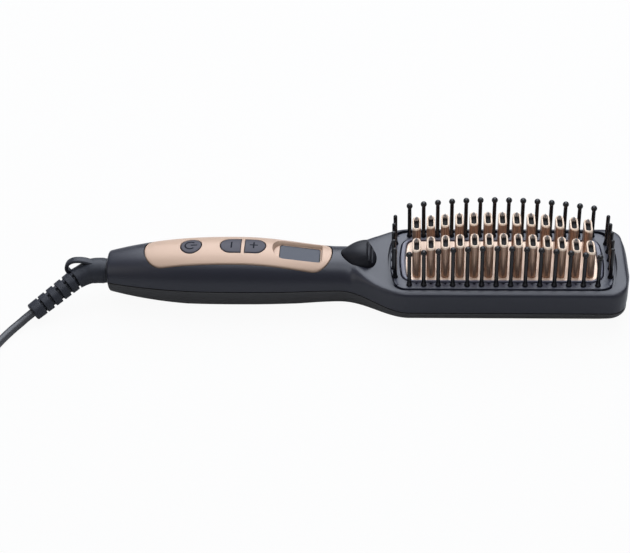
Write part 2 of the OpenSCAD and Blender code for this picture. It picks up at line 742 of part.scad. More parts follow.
// The black core inside a finger, with its small pointed nose
module finger_tip_row(y) {
    for (i = [0:finger_count - 1]) translate([finger_x(i), y, 0]) {
        translate([0, 0, plate_top]) linear_extrude(finger_top(i) - plate_top - 1)
            stadium(finger_w, finger_len, finger_wall + tip_gap);
        translate([0, 0, finger_top(i) - 1 - e]) cylinder(r1 = 1.2, r2 = 0.3, h = 2.4, $fn = 24);
    }
}
module finger_row_front() { color([0.62, 0.47, 0.37]) finger_row(-finger_row_y); }
module finger_row_rear() { color([0.62, 0.47, 0.37]) finger_row(finger_row_y); }
module finger_tips_front() { color([0.09, 0.08, 0.08]) finger_tip_row(-finger_row_y); }
module finger_tips_rear() { color([0.09, 0.08, 0.08]) finger_tip_row(finger_row_y); }

vent_y = (bezel_out_y + pin_row_y) / 2 + 0.1;
module bristle_panel() {
    color([0.26, 0.27, 0.32]) difference() {
        slab(pad(deck_mid, deck_half, deck_half_w, 8, 2.4), deck_top - deck_t, deck_top);
        slab(pad(plate_x, bezel_out_x + bezel_gap, bezel_out_y + bezel_gap,
            plate_r + bezel_w, plate_bow), deck_top - 5, deck_top + 1);
        // Steam vents, one beside each finger
        for (i = [0:finger_count - 1], s = [-1, 1])
            translate([finger_x(i), s * vent_y, deck_top - 5])
                linear_extrude(8) circle(r = 0.5, $fn = 16);
    }
}
pin_flare_d = 3.4;
pin_flare_h = 2.6;
module pin_row(y) {
    for (i = [0:pin_count - 1]) {
        x = pin_x(i);
        h = pin_h - crown(x);
        translate([x, y, deck_top]) {
            cylinder(d1 = pin_flare_d, d2 = pin_d, h = pin_flare_h, $fn = 24);
            cylinder(d = pin_d, h = h - pin_ball_d / 2, $fn = 24);
            translate([0, 0, h - pin_ball_d / 2]) sphere(d = pin_ball_d, $fn = 24);
        }
    }
}
module pin_column(x, bow) {
    half = (end_pin_count - 1) / 2;
    for (i = [-half:half]) translate([x + bow * (1 - pow(i / half, 2)), i * end_pin_pitch,
        deck_top]) {
        cylinder(d1 = pin_flare_d, d2 = pin_d, h = pin_flare_h, $fn = 24);
        cylinder(d = pin_d, h = end_pin_h - pin_d / 2, $fn = 24);
        translate([0, 0, end_pin_h - pin_d / 2]) sphere(d = pin_d, $fn = 24);
    }
}
module pin_row_front() { color([0.08, 0.08, 0.09]) pin_row(-pin_row_y); }
module pin_row_rear() { color([0.08, 0.08, 0.09]) pin_row(pin_row_y); }
module pin_column_inner() { color([0.08, 0.08, 0.09]) pin_column(end_column_x[0], -end_bow); }
module pin_column_outer() { color([0.08, 0.08, 0.09]) pin_column(end_column_x[1], end_bow); }

module heating_elements() {
    color([0.85, 0.83, 0.78]) for (s = [-1, 1])
        translate([plate_x + s * 20 - 16, -8, clamp_top]) cube([32, 16, element_t]);
}
module element_clamp() {
    color([0.70, 0.70, 0.72]) translate([plate_x - stack_half_len, -stack_half_w, pad_top])
        cube([2 * stack_half_len, 2 * stack_half_w, clamp_t]);
}
module insulation_pad() {
    color([0.88, 0.86, 0.80]) translate([plate_x - stack_half_len, -stack_half_w, pad_bottom])
        cube([2 * stack_half_len, 2 * stack_half_w, pad_t]);
}
module thermal_fuse() {
    color([0.80, 0.65, 0.40])
        rod_x(element_t / 2, plate_x - 8, plate_x + 6, 11.5, clamp_top + element_t / 2);
}
module thermistor() {
    color([0.30, 0.20, 0.15]) translate([plate_x - 4, -13, clamp_top])
        cube([6, 3, element_t]);
}
module housing_screws() {
    color([0.65, 0.65, 0.68]) for (p = screw_sites) translate([p[0], p[1], 0]) {
        rod(screw_head_r, screw_seat(p) - screw_head_t, screw_seat(p));
        rod(screw_r, screw_seat(p) - e, parting(p[0]) + 6);
    }
}

// ---- Cord, leads and plug ----

function unit(v) = v / norm(v);
// Direction of a path at point i
function along(p, i) = unit(p[min(len(p) - 1, i + 1)] - p[max(0, i - 1)]);
// A ring of points round a path
function ring_at(p, i, r, sides) = let (t = along(p, i), b = unit(cross(t, [0, 0, 1])),
    n = cross(b, t))
    [for (k = [0:sides - 1]) let (a = 360 * k / sides) p[i] + r * (cos(a) * b + sin(a) * n)];
module tube(p, radii, sides) {
    loft([for (i = [0:len(p) - 1]) ring_at(p, i, radii[i], sides)]);
}
// A curve of four points a stretch through the given points
function smooth(p, cuts) = let (n = len(p))
    concat([for (i = [0:n - 2], k = [0:cuts - 1]) let (t = k / cuts,
        a = p[max(0, i - 1)], b = p[i], c = p[i + 1], d = p[min(n - 1, i + 2)])
        (2 * b + (c - a) * t + (2 * a - 5 * b + 4 * c - d) * t * t
            + (3 * b - a - 3 * c + d) * t * t * t) / 2], [p[n - 1]]);

// The same curve with a straight first and last stretch, so that both ends are square
function route(p) = let (n = len(p))
    concat([p[0]], smooth([for (i = [1:n - 2]) p[i]], 3), [p[n - 1]]);

module swivel_bush() {
    color([0.75, 0.74, 0.70]) difference() {
        union() {
            rod_x(bush_r, x_butt + 0.2, bush_end, 0, axis_butt);
            rod_x(bush_flange_r, x_butt + butt_wall, x_butt + butt_wall + bush_flange_t, 0,
                axis_butt);
        }
        rod_x(swivel_r + swivel_fit, x_butt - 1, bush_end + 1, 0, axis_butt);
    }
}
guard_dir = unit(guard_end - guard_path[3]);
guard_rest = norm(guard_end - guard_path[3]);
rib_count = 5;
rib_pitch = 6;
rib_start = guard_rest - rib_count * rib_pitch;
rib_r = 5.6;
groove_r = 4.1;
function guard_at(s) = guard_path[3] + guard_dir * s;
module cord_guard() {
    ribs = [for (i = [0:rib_count - 1]) let (s = rib_start + i * rib_pitch)
        each [[s + 0.2, groove_r], [s + 1.9, groove_r], [s + 2.1, rib_r],
            [s + rib_pitch - 0.1, rib_r]]];
    path = concat(guard_path, [for (q = ribs) guard_at(q[0])]);
    radii = concat([sleeve_d / 2, sleeve_d / 2, sleeve_d / 2, 6.9], [for (q = ribs) q[1]]);
    color([0.16, 0.17, 0.19]) {
        rod_x(swivel_r, x_butt - 0.4, bush_end + axial_gap + e, 0, axis_butt);
        rod_x(keeper_r, bush_end + axial_gap, bush_end + axial_gap + keeper_t, 0, axis_butt);
        tube(path, radii, 16);
        hang_loop();
    }
}
// The strap loop on the outer side of the elbow: a straight eye whose faces lie across the body
loop_strap = 2.4;
loop_w = 5;
loop_at = [elbow_x - 5.6, -0.4, axis_butt + 5.4];
loop_big = [-0.4, -2.1];
loop_big_r = 3.7;
loop_small = [4.3, 0.7];
loop_small_r = 1;
module hang_loop() {
    translate(loop_at) rotate([90, 0, 0]) translate([0, 0, -loop_w / 2]) linear_extrude(loop_w)
        difference() {
            loop_outline(loop_strap);
            loop_outline(0);
        }
}
// Two circles and the straight sides that touch both
loop_way = loop_small - loop_big;
loop_sine = (loop_big_r - loop_small_r) / norm(loop_way);
function loop_normal(side) = (loop_way * loop_sine
    + side * sqrt(1 - loop_sine * loop_sine) * [-loop_way[1], loop_way[0]]) / norm(loop_way);
module loop_outline(grow) {
    translate(loop_big) circle(r = loop_big_r + grow, $fn = 40);
    translate(loop_small) circle(r = loop_small_r + grow, $fn = 40);
    polygon([loop_big + (loop_big_r + grow) * loop_normal(1),
        loop_big + (loop_big_r + grow) * loop_normal(-1),
        loop_small + (loop_small_r + grow) * loop_normal(-1),
        loop_small + (loop_small_r + grow) * loop_normal(1)]);
}

module cord() {
    path = route(cord_points);
    color([0.20, 0.20, 0.22]) tube(path, [for (q = path) cord_d / 2], 8);
}

// Coil of four layers. The spiral runs in and out at a steady rate, and climbs to the next
// layer in the half turn round each reversal.
loop_rings = 24;
layer_rings = round(coil_turns * loop_rings);
climb_rings = loop_rings / 2;
layer_step = layer_rings + climb_rings;
coil_rings = 4 * layer_rings + 3 * climb_rings;
coil_r_start = coil_r_in + coil_pitch * (layer_rings + climb_rings / 2) / loop_rings;
coil_c = [coil_start[0] - coil_r_start, coil_start[1] - cord_d];
// Rings travelled since the spiral last turned at its innermost point
function coil_swing(k) = let (phase = (k + climb_rings / 2) % (2 * layer_step))
    abs(layer_step - phase);
function coil_r(k) = coil_r_in + coil_pitch * coil_swing(k) / loop_rings;
function coil_layer(k) = floor(k / layer_step);
function coil_climb(k) = max(0, k - coil_layer(k) * layer_step - layer_rings) / climb_rings;
function coil_h(k) = coil_z + coil_layer_h * (coil_layer(k) + ease(coil_climb(k)));
function coil_point(k) = let (a = -360 * k / loop_rings)
    [coil_c[0] + coil_r(k) * cos(a), coil_c[1] + coil_r(k) * sin(a), coil_h(k)];
// The first and last stretch run straight for one diameter, square to what they meet
coil_body = [for (k = [0:coil_rings]) coil_point(k)];
coil_end = coil_body[coil_rings];
coil_path = concat([coil_start], coil_body, [coil_end + [0, cord_d, 0]]);
coil_gap = min([for (i = [0:2:coil_rings], j = [i + 13:1:coil_rings])
    norm(coil_body[i] - coil_body[j])]) - cord_d;
function run(p, i) = i == 0 ? 0 : run(p, i - 1) + norm(p[i] - p[i - 1]);
module cord_coil() {
    color([0.20, 0.20, 0.22]) tube(coil_path, [for (q = coil_path) cord_d / 2], 6);
}

// The tail leaves the top layer and comes down beside the coil to the plug
tail_drop = 38;
plug_z = 7.1;
tail_start = coil_end + [0, cord_d, 0];
plug_rear = [tail_start[0], tail_start[1] + tail_drop, plug_z];
tail_points = [tail_start, tail_start + [0, 5, 0], mix(tail_start, plug_rear, 0.3) - [0, 0, -1],
    mix(tail_start, plug_rear, 0.7) - [0, 0, 1], plug_rear - [0, 5, 0], plug_rear];
module cord_tail() {
    path = route(tail_points);
    color([0.20, 0.20, 0.22]) tube(path, [for (q = path) cord_d / 2], 8);
}
function route_length(p) = run(p, len(p) - 1);
echo(coil_least_gap = coil_gap, cord_length = route_length(route(cord_points))
    + route_length(coil_path) + route_length(route(tail_points)));

// Two-pin mains plug, lying flat beside the coil
plug_half_w = 13;
plug_half_h = 6.9;
plug_len = 36;
plug_pin_r = 2;
plug_pin_len = 19;
plug_pin_gap = 19;
module plug_body() {
    // Distance along the plug, half width and half height
    stages = [[0, 0.36, 0.68], [0.08, 0.42, 0.76], [0.28, 0.52, 0.84], [0.52, 0.80, 0.94],
        [0.72, 0.98, 1], [0.95, 1, 1], [1, 0.95, 0.93]];
    color([0.13, 0.13, 0.14]) loft([for (q = stages) [for (a = [0:18:342])
        plug_rear + [plug_half_w * q[1] * arc_y(a, 3.2), plug_len * q[0],
            plug_half_h * q[2] * sign(sin(a)) * pow(abs(sin(a)), 2 / 3.2)]]]);
}
module plug_pins() {
    color([0.80, 0.78, 0.72]) for (s = [-1, 1])
        translate(plug_rear + [s * plug_pin_gap / 2, plug_len, 0]) rotate([-90, 0, 0])
            cylinder(r = plug_pin_r, h = plug_pin_len, $fn = 32);
}

// Leads inside the handle and neck
lead_r = 0.8;
module lead(points) {
    path = smooth(points, 2);
    tube(path, [for (q = path) lead_r], 6);
}
module mains_leads() {
    start = bush_end + axial_gap + keeper_t + 0.3;
    color([0.55, 0.15, 0.12]) for (s = [-1, 1]) lead([[start, s * 2, axis_butt],
        [start + 3, s * 2.6, axis_butt], [x_butt + 18, s * 5.6, axis_butt],
        [x_butt + 26, s * 5.6, axis_butt + 0.5], [board_x0 - 5, s * 3, axis_butt + 2.5],
        [board_x0 - 0.5, s * 2, board_top - board_t - 2.4],
        [board_x0 + 4, s * 2, board_top - board_t - lead_r]]);
}
module heater_leads() {
    end = plate_x - 36 - 0.2;
    color([0.85, 0.85, 0.82]) for (s = [-1, 1]) lead([
        [board_x1 - 0.8, s * 3.2, board_top - board_t - 1], [board_x1 + 3, s * 3.5, 23],
        [board_x1 + 8, s * 4, 19.5], [board_x1 + 15, s * 7.5, 15.5],
        [board_x1 + 27, s * 9.8, 13.6], [chamber_x0 - 10, s * 8.5, 13.4],
        [chamber_x0 + 5, s * 6, clamp_top + element_t / 2],
        [end, s * 5, clamp_top + element_t / 2]]);
}

upper_housing();
back_cover();
control_panel();
power_button();
minus_button();
plus_button();
display_window();
display_module();
control_board();
tact_switches();
steam_button();
steam_spring();
pump_cylinder();
pump_piston();
water_tank();
tank_plug();
water_tubes();
steam_chamber();
heater_plate();
finger_row_front();
finger_row_rear();
finger_tips_front();
finger_tips_rear();
bristle_panel();
plate_bezel();
pin_row_front();
pin_row_rear();
pin_column_inner();
pin_column_outer();
heating_elements();
element_clamp();
insulation_pad();
thermal_fuse();
thermistor();
housing_screws();
board_screws();
heater_leads();
mains_leads();
swivel_bush();
cord_guard();
cord();
cord_coil();
cord_tail();
plug_body();
plug_pins();
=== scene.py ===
import math

import bmesh
import bpy
import numpy as np
from mathutils import Matrix, Vector


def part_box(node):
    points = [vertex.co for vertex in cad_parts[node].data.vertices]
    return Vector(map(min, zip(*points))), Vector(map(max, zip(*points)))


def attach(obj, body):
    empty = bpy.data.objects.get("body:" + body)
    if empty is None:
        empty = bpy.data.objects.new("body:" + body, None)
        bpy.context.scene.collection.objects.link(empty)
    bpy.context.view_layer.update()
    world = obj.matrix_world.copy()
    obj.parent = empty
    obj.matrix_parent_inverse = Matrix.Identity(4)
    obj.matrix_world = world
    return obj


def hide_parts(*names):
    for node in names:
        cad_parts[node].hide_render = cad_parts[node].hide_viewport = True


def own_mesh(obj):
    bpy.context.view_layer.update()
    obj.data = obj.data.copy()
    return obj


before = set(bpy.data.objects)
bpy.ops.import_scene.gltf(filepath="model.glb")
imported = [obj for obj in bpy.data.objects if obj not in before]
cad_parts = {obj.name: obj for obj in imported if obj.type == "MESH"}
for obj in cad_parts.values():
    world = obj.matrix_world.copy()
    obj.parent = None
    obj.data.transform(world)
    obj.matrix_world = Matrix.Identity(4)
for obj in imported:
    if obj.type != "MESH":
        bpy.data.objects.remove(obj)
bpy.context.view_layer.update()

# ---- Studio ----
# A camera at the photograph's angle, a white sweep under the brush, and soft boxes: a large one
# overhead that lies as a sheen on the upward faces, a weak one nearer the camera and two beside it.
MM = 0.001


def photo_camera(target, elevation, azimuth, roll, distance, focal_px, width_px=630):
    """Looks at target from azimuth and elevation; right and up are turned by roll about the view."""
    e, a, r = (math.radians(v) for v in (elevation, azimuth, roll))
    back = Vector((math.sin(a) * math.cos(e), -math.cos(a) * math.cos(e), math.sin(e)))
    side = Vector((math.cos(a), math.sin(a), 0))
    rise = back.cross(side)
    right = side * math.cos(r) + rise * math.sin(r)
    up = rise * math.cos(r) - side * math.sin(r)
    data = bpy.data.cameras.new("camera")
    data.sensor_width = 36
    data.lens = 36 * focal_px / width_px
    data.clip_start = 0.01
    camera = bpy.data.objects.new("camera", data)
    place = Matrix((right, up, back)).transposed().to_4x4()
    place.translation = Vector(target) + back * distance
    camera.matrix_world = place
    bpy.context.scene.collection.objects.link(camera)
    return camera


bpy.context.scene.camera = photo_camera(
    target=(-0.02982, 0, 0.01467), elevation=39.5, azimuth=4.29, roll=-2.54, distance=1.0038, focal_px=1721)
bpy.context.scene.view_settings.view_transform = "Standard"


class Flow:
    """A value on its way through a material: operators add Math nodes, node() adds any other."""

    def __init__(self, tree, socket):
        self.tree, self.socket = tree, socket

    def _math(self, operation, a, b):
        node = self.tree.nodes.new("ShaderNodeMath")
        node.operation = operation
        for slot, value in zip(node.inputs, (a, b)):
            if isinstance(value, Flow):
                self.tree.links.new(value.socket, slot)
            else:
                slot.default_value = value
        return Flow(self.tree, node.outputs[0])

    def __add__(self, other): return self._math("ADD", self, other)
    def __radd__(self, other): return self._math("ADD", other, self)
    def __sub__(self, other): return self._math("SUBTRACT", self, other)
    def __rsub__(self, other): return self._math("SUBTRACT", other, self)
    def __mul__(self, other): return self._math("MULTIPLY", self, other)
    def __rmul__(self, other): return self._math("MULTIPLY", other, self)
    def __truediv__(self, other): return self._math("DIVIDE", self, other)
    def __rtruediv__(self, other): return self._math("DIVIDE", other, self)

    def node(self, kind, settings=None, out=0, **inputs):
        """A new node of that kind, its settings made first, fed with these values or flows."""
        node = self.tree.nodes.new(kind)
        for key, value in (settings or {}).items():
            setattr(node, key, value)
        for key, value in inputs.items():
            slot = node.inputs[int(key[1:]) if key[1:].isdigit() else key.replace("_", " ")]
            if isinstance(value, Flow):
                self.tree.links.new(value.socket, slot)
            else:
                slot.default_value = value
        return Flow(self.tree, node.outputs[out])

    def blend(self, low, high, kind="MIX"):
        """The colour low where this value is 0, and low mixed with high where it is 1."""
        return self.node("ShaderNodeMix", {"data_type": "RGBA", "blend_type": kind}, out=2,
                         _0=self, _6=low, _7=high)


def finish_named(name):
    """A new node material, its Principled shader, and its Object coordinates as a Flow."""
    material = bpy.data.materials.new(name)
    material.use_nodes = True
    shader = material.node_tree.nodes["Principled BSDF"]
    places = Flow(material.node_tree, None).node("ShaderNodeTexCoord", out=3)
    return material, shader, places


def feed(shader, slot, flow):
    """Links a value to a shader's input."""
    flow.tree.links.new(flow.socket, shader.inputs[slot])


def studio():
    """The white world and the paper sweep that keeps the brush's shadow."""
    ambient, mirrored = 0.22, 0.05
    reach, drop = 4, 0.0004
    paper_grey, glow_share = 0.45, 0.94
    world = bpy.data.worlds.new("studio")
    world.use_nodes = True
    bpy.context.scene.world = world
    tree = world.node_tree
    rays = tree.nodes.new("ShaderNodeLightPath")
    seen, glossy, through = (Flow(tree, rays.outputs[kind]) for kind in (
        "Is Camera Ray", "Is Glossy Ray", "Is Transmission Ray"))
    white = seen.node("ShaderNodeMath", {"operation": "MAXIMUM"}, _0=seen, _1=through)
    sky = tree.nodes["Background"]
    sky.inputs["Color"].default_value = (1, 1, 1, 1)
    feed(sky, "Strength", white * (1 - ambient) + ambient + glossy * mirrored)

    ground = bpy.data.meshes.new("sweep")
    ground.from_pydata([(x * reach, y * reach, -drop) for x, y in ((-1, -1), (1, -1), (1, 1), (-1, 1))],
                       [], [(0, 1, 2, 3)])
    sweep = bpy.data.objects.new("sweep", ground)
    bpy.context.scene.collection.objects.link(sweep)
    paper = bpy.data.materials.new("white_sweep")
    paper.use_nodes = True
    tree = paper.node_tree
    tree.nodes.clear()
    out, lit, glow, both, path = (tree.nodes.new("ShaderNode" + kind) for kind in (
        "OutputMaterial", "BsdfDiffuse", "Emission", "MixShader", "LightPath"))
    lit.inputs["Color"].default_value = (paper_grey, paper_grey, paper_grey, 1)
    feed(both, 0, Flow(tree, path.outputs["Is Camera Ray"]) * glow_share)
    tree.links.new(lit.outputs[0], both.inputs[1])
    tree.links.new(glow.outputs[0], both.inputs[2])
    tree.links.new(both.outputs[0], out.inputs[0])
    ground.materials.append(paper)


def soft_box(name, place, aim, size, power, tint):
    """A rectangular lamp at place that faces aim."""
    lamp = bpy.data.lights.new(name, "AREA")
    lamp.shape = "RECTANGLE"
    lamp.size, lamp.size_y = size
    lamp.energy = power
    lamp.color = tint
    box = bpy.data.objects.new(name, lamp)
    box.location = place
    box.rotation_euler = (Vector(aim) - Vector(place)).to_track_quat("-Z", "Y").to_euler()
    bpy.context.scene.collection.objects.link(box)


SKY_TINT, SIDE_TINT = (0.86, 0.91, 1.0), (1.0, 0.98, 0.95)
studio()
soft_box("sky_box", (0.05, 0.66, 1.12), (0, 0, 0), (1.5, 1.5), 33, SKY_TINT)
soft_box("front_sky_box", (0.05, -0.4, 1.2), (0, 0, 0), (1.0, 0.6), 6, SKY_TINT)
for name, x, power in (("left_box", -1.4, 3.5), ("right_box", 1.4, 2.2)):
    soft_box(name, (x, -0.8, 0.8), (0, 0, 0.03), (1.1, 1.1), power, SIDE_TINT)

# ---- Mains cord ----
# A round rubber-sheathed cord of 5 mm: it leaves the guard, runs down to the table, and its spare
# length is wound into a neat four-layer coil out of view, with the plug lying beside it.
CORD_D = 5.0
TAIL_RUN, PLUG_Z = 38, 7.1
cord_points = np.array([
    (-193.3, -23.5, 6.2), (-197, -26.5, 4.6), (-200.6, -30.4, 3.3), (-203.8, -34.8, 2.8),
    (-207, -40.4, 2.6), (-209.8, -46.2, 2.6), (-212, -52, 2.6), (-213.3, -56.6, 2.6),
    (-213.6, -59.5, 2.6), (-213.6, -62.5, 2.6)])


def ease(t):
    """Smooth step: 3t^2 - 2t^3 between 0 and 1."""
    t = np.clip(t, 0, 1)
    return t * t * (3 - 2 * t)


def through_points(points, cuts):
    """A Catmull-Rom curve through the points, cuts pieces to a stretch, its ends left straight."""
    p = np.asarray(points, float)
    inner = p[1:-1]
    a = np.vstack([inner[:1], inner[:-2]])
    b, c = inner[:-1], inner[1:]
    d = np.vstack([inner[2:], inner[-1:]])
    t = (np.arange(cuts) / cuts)[None, :, None]
    a, b, c, d = (q[:, None, :] for q in (a, b, c, d))
    curve = (2 * b + (c - a) * t + (2 * a - 5 * b + 4 * c - d) * t ** 2
             + (3 * b - a - 3 * c + d) * t ** 3) / 2
    return np.vstack([p[:1], curve.reshape(-1, 3), inner[-1:], p[-1:]])


def coil_points(start, inner_r=21.5, pitch=5.7, turns=2, layer_h=5.5, per_turn=48):
    """Four layers: the radius swings in and out at pitch a turn, the height climbs in each half
    turn round a reversal, and the angle goes clockwise."""
    layer, climb = turns * per_turn, per_turn // 2
    step = layer + climb
    k = np.arange(4 * layer + 3 * climb + 1)
    swing = np.abs(step - (k + climb / 2) % (2 * step))
    radius = inner_r + pitch * swing / per_turn
    level = k // step
    height = start[2] + layer_h * (level + ease((k - level * step - layer) / climb))
    angle = -2 * np.pi * k / per_turn
    first = start - np.array([0, CORD_D, 0])
    centre = first - np.array([radius[0], 0, 0])
    return np.stack([centre[0] + radius * np.cos(angle), centre[1] + radius * np.sin(angle),
                     height], 1)


coil = coil_points(cord_points[-1])
tail_start = coil[-1] + (0, CORD_D, 0)
plug_rear = np.array([tail_start[0], tail_start[1] + TAIL_RUN, PLUG_Z])
tail_points = [tail_start, tail_start + (0, 5, 0),
               tail_start + 0.3 * (plug_rear - tail_start) + (0, 0, 1),
               tail_start + 0.7 * (plug_rear - tail_start) - (0, 0, 1),
               plug_rear - (0, 5, 0), plug_rear]
cord_line = np.vstack([through_points(cord_points, 6), coil, through_points(tail_points, 6)[1:]])


def unit(v):
    """The vectors along the last axis, at length 1."""
    return v / np.maximum(np.linalg.norm(v, axis=-1, keepdims=True), 1e-9)


def tube_rings(line, radii, sides):
    """Circles of the given radii square to the line, each turned by the line's own side vector."""
    ahead = unit(np.gradient(line, axis=0))
    side = unit(np.cross(ahead, [0, 0, 1.0]))
    rise = np.cross(side, ahead)
    angle = 2 * np.pi * np.arange(sides) / sides
    around = (side[:, None, :] * np.cos(angle)[None, :, None]
              + rise[:, None, :] * np.sin(angle)[None, :, None])
    radii = np.asarray(radii, float)
    radii = radii[:, None, None] if radii.ndim == 1 else radii[:, :, None]
    return line[:, None, :] + around * radii


def skin(rings, closed=False, capped=True):
    """Vertices and faces of a surface through equal rings; closed joins the last ring to the first."""
    rows, columns = rings.shape[:2]
    last = rows if closed else rows - 1
    i, j = np.meshgrid(np.arange(last), np.arange(columns), indexing="ij")
    ni, nj = (i + 1) % rows, (j + 1) % columns
    quads = np.stack([i * columns + j, i * columns + nj, ni * columns + nj, ni * columns + j], -1)
    faces = quads.reshape(-1, 4).tolist()
    if capped and not closed:
        faces.append(list(range(columns))[::-1])
        faces.append(list(range((rows - 1) * columns, rows * columns)))
    return rings.reshape(-1, 3), faces


def as_mesh(name, *skins):
    """One mesh from several skins in millimetres, its faces turned outwards."""
    mesh = bpy.data.meshes.new(name)
    points, faces, base = [], [], 0
    for corners, sides in skins:
        points.append(np.asarray(corners, float) * MM)
        faces += [[k + base for k in side] for side in sides]
        base += len(corners)
    mesh.from_pydata(np.vstack(points).tolist(), [], faces)
    work = bmesh.new()
    work.from_mesh(mesh)
    bmesh.ops.recalc_face_normals(work, faces=work.faces)
    work.to_mesh(mesh)
    work.free()
    return mesh


def as_piece(mesh, material, body, slot, *nodes, sharp=38):
    """A shown piece of that mesh, riding on a body in place of CAD nodes."""
    mesh.materials.clear()
    mesh.materials.append(material)
    mesh.shade_smooth()
    mesh.set_sharp_from_angle(angle=math.radians(sharp))
    piece = bpy.data.objects.new(mesh.name, mesh)
    bpy.context.scene.collection.objects.link(piece)
    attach(piece, body)
    if nodes:
        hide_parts(*nodes)
    return piece


def tones(colour, dark, light):
    """The colour times dark and the colour times light, no channel past 1."""
    return [(*[min(1, c * k) for c in colour], 1) for k in (dark, light)]


def grained(name, pair, slow, fine, rough, bump, stretch=None, **constants):
    """A procedural finish from two noises, each given as (scale, detail): slow mixes the pair of
    tones, roughness = rough[0] + rough[1] slow + rough[2] fine, and fine makes the bump, given as
    (strength, depth in metres)."""
    material, shader, place = finish_named(name)
    if stretch:
        place = place.node("ShaderNodeMapping", Vector=place, Scale=stretch)
    slow, fine = (place.node("ShaderNodeTexNoise", Vector=place, Scale=scale, Detail=detail)
                  for scale, detail in (slow, fine))
    feed(shader, "Base Color", slow.blend(*pair))
    feed(shader, "Roughness", slow * rough[1] + fine * rough[2] + rough[0])
    if bump:
        feed(shader, "Normal", fine.node("ShaderNodeBump", Height=fine, Strength=bump[0], Distance=bump[1]))
    for slot, value in constants.items():
        shader.inputs[slot.replace("_", " ")].default_value = value
    return material


def rubber(name, colour, rough=0.5, grain=900, depth=0.00004, coat=0.0, shine=0.5):
    """Moulded rubber or plastic: a fine even grain and slow patches of duller and shinier skin."""
    return grained(name, tones(colour, 0.85, 1.18), (55, 3), (grain, 2), (rough - 0.08, 0.16, 0),
                   (0.35, depth), Specular_IOR_Level=shine, Coat_Weight=coat, Coat_Roughness=0.25)


cord_mesh = as_mesh("mains_cord", skin(tube_rings(cord_line, np.full(len(cord_line), CORD_D / 2), 20)))
sheath = rubber("cord_sheath", (0.032, 0.033, 0.038), 0.40, 1400, 0.00002)
mains_cord = as_piece(cord_mesh, sheath, "swivel", "cord_rubber", "cord", "cord_coil", "cord_tail")

# ---- Mains plug ----
# A flat two-pin plug moulded onto the cord: a waisted grip that widens to the pin face, with
# finger ridges, and two nickel-plated pins with round ends.
def signed_power(v, p):
    """sign(v) |v|^p, which turns a circle's cosine and sine into a superellipse's."""
    return np.sign(v) * np.abs(v) ** p


def plug_rings(rear, length=36.0, half_w=13.0, half_h=6.9, rows=73, sides=64):
    """Rounded rectangles (superellipse 3.2) along Y; width and height follow the grip's outline,
    with shallow finger ridges in its waist."""
    s = np.linspace(0, 1, rows)
    at = [0, 0.02, 0.08, 0.28, 0.52, 0.72, 0.95, 0.985, 1.0]
    wide = np.interp(s, at, [0.33, 0.37, 0.42, 0.52, 0.80, 0.98, 1.0, 0.985, 0.94])
    tall = np.interp(s, at, [0.62, 0.68, 0.76, 0.84, 0.94, 1.0, 1.0, 0.97, 0.92])
    ridge = 0.045 * np.exp(-((s - 0.4) / 0.14) ** 4) * np.cos(2 * np.pi * s * 9)
    a = np.linspace(0, 2 * np.pi, sides, endpoint=False)
    x = rear[0] + half_w * (wide - np.abs(ridge))[:, None] * signed_power(np.cos(a), 2 / 3.2)
    z = rear[2] + half_h * (tall - 0.02)[:, None] * signed_power(np.sin(a), 2 / 3.2)
    return np.stack([x, np.repeat((rear[1] + length * s)[:, None], sides, 1), z], -1)


def turned(profile, centre, axis, sides=32):
    """A lathe shape: (distance along axis, radius) pairs turned about the axis through centre."""
    profile = np.asarray(profile, float)
    axis = np.asarray(axis, float)
    side = unit(np.cross(axis, [0, 0, 1.0])) if abs(axis[2]) < 0.9 else np.array([1.0, 0, 0])
    up = np.cross(axis, side)
    a = 2 * np.pi * np.arange(sides) / sides
    around = np.cos(a)[:, None] * side + np.sin(a)[:, None] * up
    return (np.asarray(centre, float) + profile[:, 0][:, None, None] * axis
            + profile[:, 1][:, None, None] * around[None])


plug = as_piece(as_mesh("mains_plug", skin(plug_rings(plug_rear))),
                rubber("plug_moulding", (0.03, 0.03, 0.033), 0.45, 1000), "swivel", "plug_black",
                "plug_body")


def bright_metal(name, colour, rough, streak=(1, 1, 60)):
    """Drawn or plated metal: fine streaks along one axis in tone, roughness and bump."""
    return grained(name, tones(colour, 0.88, 1.1), (220, 4), (220, 4), (rough - 0.11, 0.22, 0),
                   (0.12, 0.00003), streak, Metallic=1.0)


pin_profile = [(0, 0.0), (0, 2.0), (17.2, 2.0), (18.3, 1.75), (18.85, 1.15), (19.0, 0.0)]
pins = as_piece(
    as_mesh("mains_plug_pins", *[
        skin(turned(pin_profile, plug_rear + (x, 36, 0), (0, 1, 0)), capped=False) for x in (-9.5, 9.5)]),
    bright_metal("nickel_plate", (0.78, 0.76, 0.70), 0.24, (60, 1, 60)), "swivel", "plug_metal",
    "plug_pins")

# ---- Cord guard ----
# One soft rubber moulding that turns in the butt: a smooth sleeve, a bent elbow with an eye to
# hang the brush by, and a ribbed tail whose slots open left and right between webs on top and below.
elbow_end = np.array([-170.0, -5.0, 16.1])
tail_len = np.linalg.norm(cord_points[0] - elbow_end)
tail_way = unit(cord_points[0] - elbow_end)
RIB_PITCH, SLOT, SLOT_EDGE, LEAD = 6.0, 1.5, 0.18, 0.3
LAST_SLOT, LAST_RIB, CORE_R = 24.8, 26.0, 3.3


